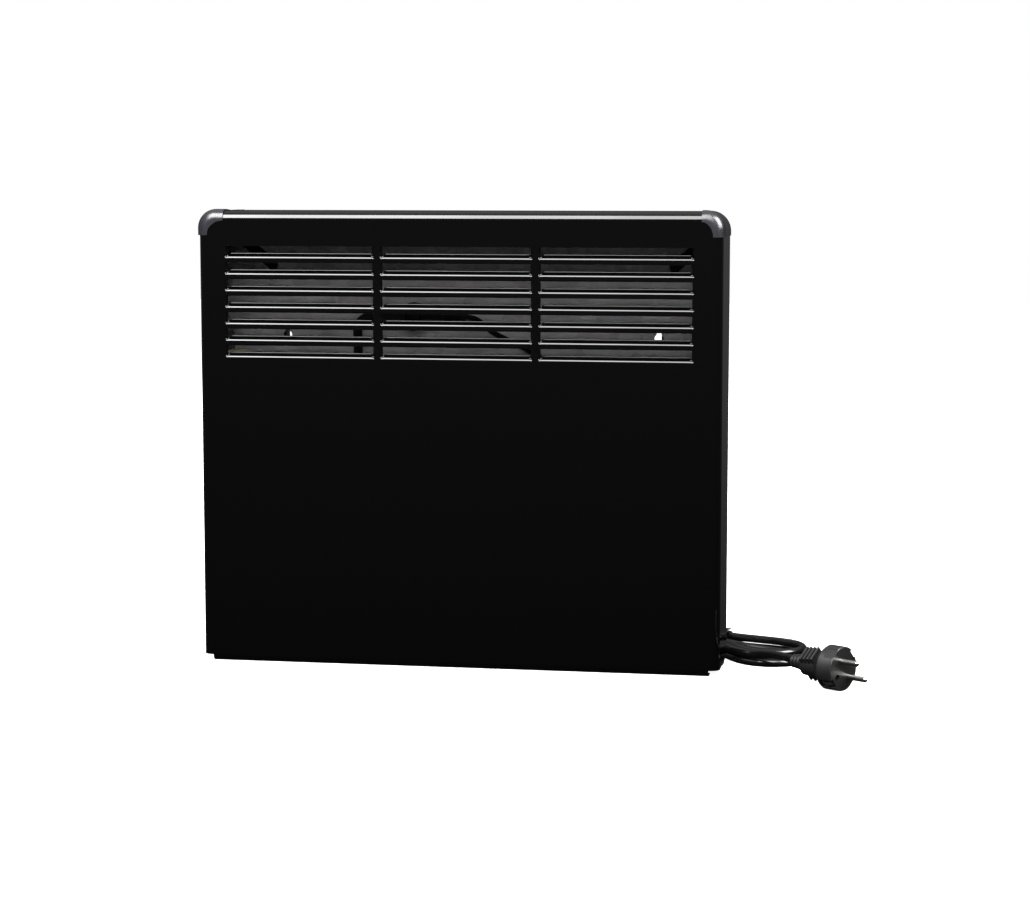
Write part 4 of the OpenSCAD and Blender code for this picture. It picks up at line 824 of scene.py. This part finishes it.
@dataclass
class CornerCap:
    """Moulded cap over a rounded top corner, with a scooped inner edge on the front."""

    side: Side
    casing: Casing
    reach: float
    drop: float = 20.8
    face_proud: float = 0.8
    edge_proud: float = 1.6
    back_proud: Pair = (0.8, 0.25)
    squareness: float = 2.4
    fade: float = 26.0
    fade_steps: int = 6
    turn_steps: int = 16
    scoop: float = 8.7
    wall: float = 1.7
    burr: float = 0.25
    tongue: Pair = (9.0, 12.0)
    tongue_starts: Pair = (0.3, 0.65)
    tongue_margin: float = 1.5
    tongue_root: float = 1.0

    def spot(self, across: float, depth: float, up: float) -> Vector:
        """Places a point of the cap, mirrored for the left one.

        Args:
            across: Distance outwards from the corner's centre.
            depth: Distance behind the front face.
            up: Distance above the corner's centre.

        Returns:
            The point.
        """
        body = self.casing
        x = body.width / 2 - body.corner_radius + across
        return body.at(self.side.value * x, depth, body.height - body.corner_radius + up)

    def rings(self) -> list[tuple[float, ...]]:
        """Works out the wall from the front to the back.

        Returns:
            For each ring its distance at the side and on the top, its bend and its depth.
        """
        body = self.casing
        radius, edge_radius = body.corner_radius, body.edge_radius
        inner, bulge = radius - edge_radius, edge_radius + self.edge_proud
        rings = []
        for a in arc(body.roll_steps):
            out = inner + bulge * math.sin(a)
            depth = edge_radius - (edge_radius + self.face_proud) * math.cos(a)
            rings.append((out, out, out - self.squareness * math.sin(a), depth))
        back_side, back_top = (radius + proud for proud in self.back_proud)
        edge, steps = radius + self.edge_proud, self.fade_steps
        for i in range(1, steps + 1):
            share = ease(1 - i / steps)
            side, top = (back + (edge - back) * share for back in (back_side, back_top))
            bend = back_top + (edge - self.squareness - back_top) * share
            rings.append((side, top, bend, edge_radius + self.fade * i / steps))
        for a in arc(body.small_steps):
            less = body.back_radius * (1 - math.cos(a))
            depth = body.depth - body.back_radius * (1 - math.sin(a))
            rings.append((back_side - less, back_top - less, back_top - less, depth))
        return rings + [(radius - body.flange,) * 3 + (body.depth,)]

    def build(self) -> None:
        """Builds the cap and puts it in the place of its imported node."""
        radius = self.casing.corner_radius
        arm, leg = self.reach - radius, self.drop - radius
        skin = SheetMesh()
        rows = []
        for side, top, bend, depth in self.rings():
            turn = [(side - bend * (1 - math.cos(a)), top - bend * (1 - math.sin(a)))
                    for a in arc(self.turn_steps)]
            rows.append([self.spot(x, depth, z) for x, z in [(side, -leg), *turn, (-arm, top)]])
        scoop = [self.spot(-arm + (self.scoop + arm) * math.cos(a), -self.face_proud,
                           -leg + (self.scoop + leg) * math.sin(a)) for a in arc(len(rows[0]) - 1)]
        middle = [(a + b) / 2 for a, b in zip(scoop, rows[0])]
        skin.patch([scoop, middle, *rows])
        length, wide = self.tongue
        under, margin = radius - self.tongue_root, self.tongue_margin
        along = (-length, -length + margin, self.tongue_root)
        for start in (self.casing.depth * share for share in self.tongue_starts):
            depths = (start, start + margin, start + wide - margin, start + wide)
            skin.patch([[self.spot(x, y, under) for x in along] for y in depths])
            skin.patch([[self.spot(under, y, z) for z in along] for y in depths])
        name = f"corner_cap_{self.side.name.lower()}"
        cap = skin.piece(name + "_moulded", Vector((0, -1, 0)), self.wall, self.burr)
        dress(cap, CAP_PLASTIC.material())
        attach(cap, "heater")
        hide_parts(name)
        LOG.info("%s", name)


@dataclass
class DialPrint:
    """White pad print of the thermostat: the scale in the recess and the pointer in the knob's groove."""

    centre: Pair = (-2.6, 254.0)
    floor: float = -214.06
    groove: float = -224.74
    travel: float = 270.0
    marks: int = 7
    ring: Pair = (16.6, 18.0)
    growth: float = 0.3
    mark_width: float = 0.8
    mark_taper: float = 0.6
    pointer: Pair = (3.6, 9.6)
    film: float = 0.1

    def bar(self, skin: SheetMesh, x: float, angle: float, low: float, high: float) -> None:
        """Adds one radial bar with a narrower inner end.

        Args:
            skin: Mesh that takes the bar.
            x: Plane of its outer face.
            angle: Its direction in degrees from upright.
            low: Distance of its inner end from the knob's axis.
            high: Distance of its outer end.
        """
        turn = math.radians(angle)
        middle, out = Vector((x, *self.centre)), Vector((0, -math.sin(turn), math.cos(turn)))
        half = Vector((0, math.cos(turn), math.sin(turn))) * self.mark_width / 2
        steps = ((low, self.mark_taper), ((low + high) / 2, 1.0), (high, 1.0))
        skin.patch([[middle + out * r - half * share, middle + out * r + half * share] for r, share in steps])

    def build(self) -> None:
        """Builds the scale on the heater and the pointer on the dial."""
        scale, pointer, material = SheetMesh(), SheetMesh(), PRINT_INK.material()
        for i in range(self.marks):
            angle = self.travel * (i / (self.marks - 1) - 0.5)
            self.bar(scale, self.floor, angle, self.ring[0], self.ring[1] + self.growth * i)
        self.bar(pointer, self.groove, -self.travel / 2, *self.pointer)
        for skin, name, body in ((scale, "dial_scale", "heater"), (pointer, "knob_pointer", "dial")):
            mark = skin.piece(name, Vector((-1, 0, 0)), self.film, 0.0)
            dress(mark, material)
            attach(mark, body)
            LOG.info("%s", name)


@dataclass
class Wire:
    """Insulated wire or sleeved lead inside the heater, along its route from tab to tab."""

    node: str
    finish: SoftSheath
    slot: str
    radius: float
    route: tuple[Triple, ...]
    sleeve_radius: float = 0.0
    sleeved: int = 0

    def build(self) -> None:
        """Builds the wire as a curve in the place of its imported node."""
        points = smooth_path([Vector(p) for p in self.route], WIRE_STEPS)
        sleeved = self.sleeved * WIRE_STEPS
        radii = [self.sleeve_radius if i < sleeved else self.radius for i in range(len(points))]
        wire = sweep(self.node + "_wire", points, depth=1.0, radii=radii, fineness=4)
        dress(wire, self.finish.material())
        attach(wire, "heater")
        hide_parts(self.node)
        LOG.info("%s", self.node)


@dataclass(frozen=True)
class Softbox:
    """A soft light, in metres and watts, and whether matt surfaces and gloss show it."""

    name: str
    place: Triple
    size: Pair
    power: float
    aim: Triple = (0.0, 0.0, 0.2)
    diffuse: bool = True
    glossy: bool = True

    def hang(self) -> None:
        """Hangs the light."""
        data = bpy.data.lights.new(self.name, "AREA")
        data.shape = "RECTANGLE"
        data.size, data.size_y = self.size
        data.energy = self.power
        lamp = add_object(self.name, data)
        lamp.location = self.place
        lamp.rotation_euler = (Vector(self.aim) - Vector(self.place)).to_track_quat("-Z", "Y").to_euler()
        lamp.visible_diffuse = self.diffuse
        lamp.visible_glossy = self.glossy


@dataclass
class Studio:
    """Camera at the photograph's view, pale floor and soft lights."""

    camera_at: Triple = (406.7, -2092.8, 422.4)
    camera_turn: Triple = (83.6323, -0.0032, 9.842)
    lens: float = 86.455
    sensor: float = 36.0
    sight: float = 50.0
    floor_half: float = 6.0
    # The key light is one long box, in strips of their own radiance, so that the top line fades to the right
    key_place: Pair = (-1.67, 2.35)
    key_aim: float = 0.36
    key_height: float = 1.9
    key_strips: tuple[Triple, ...] = (
        (-2.2, -0.9, 23.0), (-0.9, -0.5, 19.5), (-0.5, -0.2, 16.0), (-0.2, 0.1, 13.5), (0.1, 1.1, 12.0))
    fills: tuple[Softbox, ...] = (
        Softbox("side_gloss", (1.75, -0.65, 1.5), (1.3, 1.5), 150.0, (0.2, 0.0, 0.36), diffuse=False),
        Softbox("overhead", (0.0, -0.6, 2.6), (3.2, 3.2), 95.0, glossy=False),
        Softbox("rear_fill", (-1.5, 2.2, 1.5), (2.0, 1.4), 130.0, glossy=False),
        Softbox("high_fill", (0.2, -2.2, 1.9), (2.0, 1.2), 290.0, glossy=False),
        Softbox("low_fill", (0.3, -3.0, 0.6), (2.0, 1.0), 14.0, glossy=False))

    def camera(self) -> None:
        """Sets up the camera as fitted to the heater's edges in the photograph."""
        data = bpy.data.cameras.new("camera")
        data.lens = self.lens
        data.sensor_width = self.sensor
        data.sensor_fit = "HORIZONTAL"
        data.clip_end = self.sight
        camera = add_object("camera", data)
        camera.location = [v * MM for v in self.camera_at]
        camera.rotation_euler = [math.radians(v) for v in self.camera_turn]
        bpy.context.scene.camera = camera

    def floor(self) -> None:
        """Lays a wide floor of matt pale paint, which glows a little so that it stays white."""
        mesh = bpy.data.meshes.new("studio_floor")
        half = self.floor_half
        corners = [(-half, -half, 0), (half, -half, 0), (half, half, 0), (-half, half, 0)]
        mesh.from_pydata(corners, [], [(0, 1, 2, 3)])
        floor = add_object("studio_floor", mesh)
        paint = {"Base Color": linear("#c8c8c8"), "Roughness": 0.9, "Specular IOR Level": 0.0,
                 "Emission Color": linear("#ffffff"), "Emission Strength": 0.95}
        dress(floor, Coating("floor_paint", paint).material)
        floor.visible_glossy = False
        floor.visible_diffuse = False

    def sky(self) -> None:
        """Makes the surround: white where it is looked at, and a dim room for light and gloss."""
        world = bpy.data.worlds.new("studio")
        world.use_nodes = True
        tree = world.node_tree
        tree.nodes.clear()
        way = add_node(tree, "TexCoord")
        axes = add_node(tree, "SeparateXYZ", links={0: (way, "Generated")})
        above = add_node(tree, "MapRange",
                         {"From Min": 0.3, "From Max": 0.95, "To Min": 0.0, "To Max": 0.6},
                         {"Value": (axes, "Z")}, interpolation_type="SMOOTHSTEP")
        level = add_node(tree, "MapRange",
                         {"From Min": -0.2, "From Max": 0.0, "To Min": 0.02, "To Max": 0.08},
                         {"Value": (axes, "Z")})
        both = add_node(tree, "Math", links={0: (above, "Result"), 1: (level, "Result")}, operation="ADD")
        dim = add_node(tree, "Background", {"Color": linear("#ffffff")}, {"Strength": (both, "Value")})
        white = add_node(tree, "Background", {"Color": linear("#ffffff"), "Strength": 1.0})
        path = add_node(tree, "LightPath")
        mix = add_node(tree, "MixShader",
                       links={0: (path, "Is Camera Ray"), 1: (dim, "Background"), 2: (white, "Background")})
        add_node(tree, "OutputWorld", links={"Surface": (mix, "Shader")})
        bpy.context.scene.world = world

    def build(self) -> None:
        """Puts up the whole studio."""
        self.camera()
        self.floor()
        self.sky()
        back, high = self.key_place
        for left, right, radiance in self.key_strips:
            middle, width = (left + right) / 2, right - left
            power = radiance * math.pi * width * self.key_height
            Softbox("key_gloss", (middle, back, high), (width, self.key_height), power,
                    (middle, 0.0, self.key_aim), diffuse=False).hang()
        for box in self.fills:
            box.hang()
        scene = bpy.context.scene
        scene.view_settings.view_transform = "Standard"
        scene.view_settings.look = "None"
        LOG.info("studio ready")


@dataclass
class MainsLead:
    """The free lead: out of the gland, round into a tied hank behind the heater and forward to the plug."""

    diameter: float = 7.0
    exit: Triple = (93.0, 35.0, 34.0)
    lead: tuple[Triple, ...] = (
        (93, 35, 37), (93, 35, 31), (93, 38, 18), (93, 48, 8), (93, 62, 3.5), (97, 77, 3.5), (108, 88, 3.5),
        (122, 91, 3.5))
    tail: tuple[Triple, ...] = ((259, 3, 13), (270, -11, 15), (278, -26, 17), (284, -40, 18.5))
    plug_place: Triple = (331.0, -78.0, 18.5)
    plug_heading: float = -34.0
    plug_length: float = 52.0
    hank_place: Pair = (214.5, 75.5)
    hank_heading: float = -33.0
    loops: float = 3.25
    run: float = 116.0
    fold_radius: float = 21.0
    step: float = 8.4
    layer: float = 7.6
    waist: float = 4.5
    lift: float = 1.3
    climb: Pair = (1.5, 4.0)
    rings: int = 48

    def pull(self, u: float) -> float:
        """Share of the tie's pull at a distance u along the hank."""
        return 0.0 if abs(u) > self.run / 2 else math.cos(math.pi * u / self.run) ** 2

    def hank_point(self, t: float) -> Vector:
        """Point of the hank's centre line.

        Args:
            t: Loops from its start.

        Returns:
            The point in millimetres.
        """
        whole = math.floor(t)
        part = min(3, int((t - whole) * 4))
        g = (t - whole) * 4 - part
        radius = self.fold_radius + self.step * abs(t - self.loops / 2)
        half = self.run / 2
        if part in (0, 2):
            u = (-half + g * self.run) if part == 0 else (half - g * self.run)
            wide = radius - (self.fold_radius - self.waist) * self.pull(u)
            v = -wide if part == 0 else wide
        else:
            turn = math.pi * g
            side = 1 if part == 1 else -1
            u = side * (half + radius * math.sin(turn))
            v = -side * radius * math.cos(turn)
        start, pace = self.climb
        z = self.diameter / 2 + self.layer * ease((t - start) * pace) + self.lift * self.pull(u)
        heading = math.radians(self.hank_heading)
        along = Vector((math.cos(heading), math.sin(heading)))
        across = Vector((-math.sin(heading), math.cos(heading)))
        flat = Vector(self.hank_place) + u * along + v * across
        return Vector((flat.x, flat.y, z))

    def route(self) -> list[Vector]:
        """Runs the lead from the gland to the plug.

        Returns:
            Points of its centre line in millimetres.
        """
        heading = math.radians(self.hank_heading)
        along = Vector((math.cos(heading), math.sin(heading), 0.0))
        count = round(self.loops * self.rings)
        hank = [self.hank_point(i / self.rings) for i in range(count + 1)]
        stub = self.diameter
        start, end = hank[0] - stub * along, hank[-1] + stub * along
        turn = math.radians(self.plug_heading)
        entry = Vector(self.plug_place) - self.plug_length * Vector((math.cos(turn), math.sin(turn), 0.0))
        lead = smooth_path([Vector(p) for p in self.lead] + [start, hank[0], hank[1]], LEAD_STEPS)
        tail = smooth_path([hank[-2], hank[-1], end] + [Vector(p) for p in self.tail] + [entry], LEAD_STEPS)
        return lead[:-LEAD_STEPS] + hank[1:-1] + tail[LEAD_STEPS:]

    def build(self) -> None:
        points = self.route()
        lead = sweep("mains_lead", points, self.diameter / 2, radii=[1.0] * len(points), fineness=5)
        dress(lead, CORD_PVC.material())
        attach(lead, "heater")
        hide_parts("cord_lead", "cord_hank", "cord_tail")


@dataclass
class PackedPieces:
    """The pieces whose CAD shape is shown as it is, each with its finish."""

    finishes: dict[Finish, tuple[str, ...]] = field(default_factory=NODE_FINISHES.copy)

    def build(self) -> None:
        """Dresses each CAD node and smooths its curved faces."""
        for finish, names in self.finishes.items():
            material = finish.material()
            for name in names:
                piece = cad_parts[name]
                dress(piece, material)
                piece.data.shade_smooth()
                LOG.info("%s in %s", name, finish.name)


def wires() -> list[Wire]:
    """Lists what runs inside the heater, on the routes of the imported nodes.

    Returns:
        The limiter's leads, the mains cores and the internal wires.
    """
    return [
        Wire("limiter_lead_left", SLEEVE, "sleeve_black", 2.4,
             ((-69, 22.1, 298.5), (-81, 22.1, 298.5), (-88, 22.1, 298), (-95, 22.1, 296), (-100, 22.1, 289),
              (-100, 22.1, 270), (-101.1, 22.1, 248), (-108, 22.1, 231), (-122, 21.6, 222),
              (-145.1, 17.6, 221.5), (-159.1, -1.4, 227.5), (-172, -13.6, 245.4), (-174, -11.6, 257.4),
              (-180, -11.6, 263.4), (-186, -11.6, 263.4)), 4.2, 11),
        Wire("limiter_lead_right", SLEEVE, "sleeve_black", 2.4,
             ((-31, 22.1, 298.5), (-12, 22.1, 298.5), (-3, 22.1, 298.5), (7, 22.1, 295.9), (22, 22.1, 284.4),
              (52, 22.1, 270), (76, 21.8, 252.1), (88, 20.6, 222.1), (92, 19.6, 180), (94, 19.6, 157.9),
              (98, 23.8, 122), (104, 23.8, 96.1), (122, 22.6, 77.9), (138, 20.6, 66.1), (139, 19.6, 47),
              (132, 19.6, 42), (126, 19.6, 42)), 4.2, 2),
        Wire("core_earth", GREEN, "wire_green", 1.3,
             ((91.5, 14.6, 70.9), (91.5, 10.6, 69.9), (89.5, 8.6, 64.9), (88.5, 10.6, 56.9), (92, 17.6, 31),
              (102, 18.6, 25), (106, 19.6, 22), (110, 19.6, 22))),
        Wire("core_neutral", BLUE, "wire_blue", 1.3,
             ((93, 14.6, 68.8), (93, 10.6, 67.8), (93, 8.6, 62.8), (93, 10.6, 54.8), (96, 17.6, 41),
              (102, 18.6, 35), (106, 19.6, 32), (110, 19.6, 32))),
        Wire("core_live", BROWN, "wire_brown", 1.3,
             ((94.5, 14.6, 70.9), (94.5, 10.6, 69.9), (96.5, 8.6, 64.9), (97.5, 10.6, 56.9), (100, 17.6, 51),
              (102, 18.6, 45), (106, 19.6, 42), (110, 19.6, 42))),
        Wire("switch_wire", BROWN, "wire_brown", 1.6,
             ((-186, 6.4, 263.4), (-180, 6.4, 263.4), (-173, 4.4, 253.4), (-172, 1.4, 235.4),
              (-177, -2.6, 217.4), (-185, -2.6, 205.4), (-192, -2.6, 205.4))),
        Wire("element_wire", BROWN, "wire_brown", 1.6,
             ((-192, -2.6, 195.4), (-185, -2.6, 195.4), (-175.9, 16.6, 176), (-150, 24.4, 162),
              (-60, 24.4, 150), (60, 24.4, 148), (150, 24.4, 146), (195, 3.5, 142), (213, -6.5, 128),
              (216, -17.5, 114), (208.5, -20.5, 108), (205, -20.5, 108))),
        Wire("neutral_wire", BLUE, "wire_blue", 1.6,
             ((205, 5.5, 108), (209, 5.5, 108), (214, 7.5, 100), (211, 9.5, 82), (193, 11.5, 58),
              (170, 19.6, 40), (144, 19.6, 32), (126, 19.6, 32))),
        Wire("earth_wire", GREEN, "wire_green", 1.6,
             ((126, 19.6, 22), (133, 19.6, 22), (140, 22.6, 22), (139, 23.9, 20), (147, 24.9, 20))),
    ]


def main() -> None:
    """Builds the scene."""
    logging.basicConfig(level=logging.INFO, format="%(message)s")
    Studio().build()
    MainsLead().build()
    PackedPieces().build()
    casing = Casing()
    casing.build()
    CornerCap(Side.LEFT, casing, reach=22.3).build()
    CornerCap(Side.RIGHT, casing, reach=17.8).build()
    DialPrint().build()
    for wire in wires():
        wire.build()


if __name__ == "__main__":
    main()
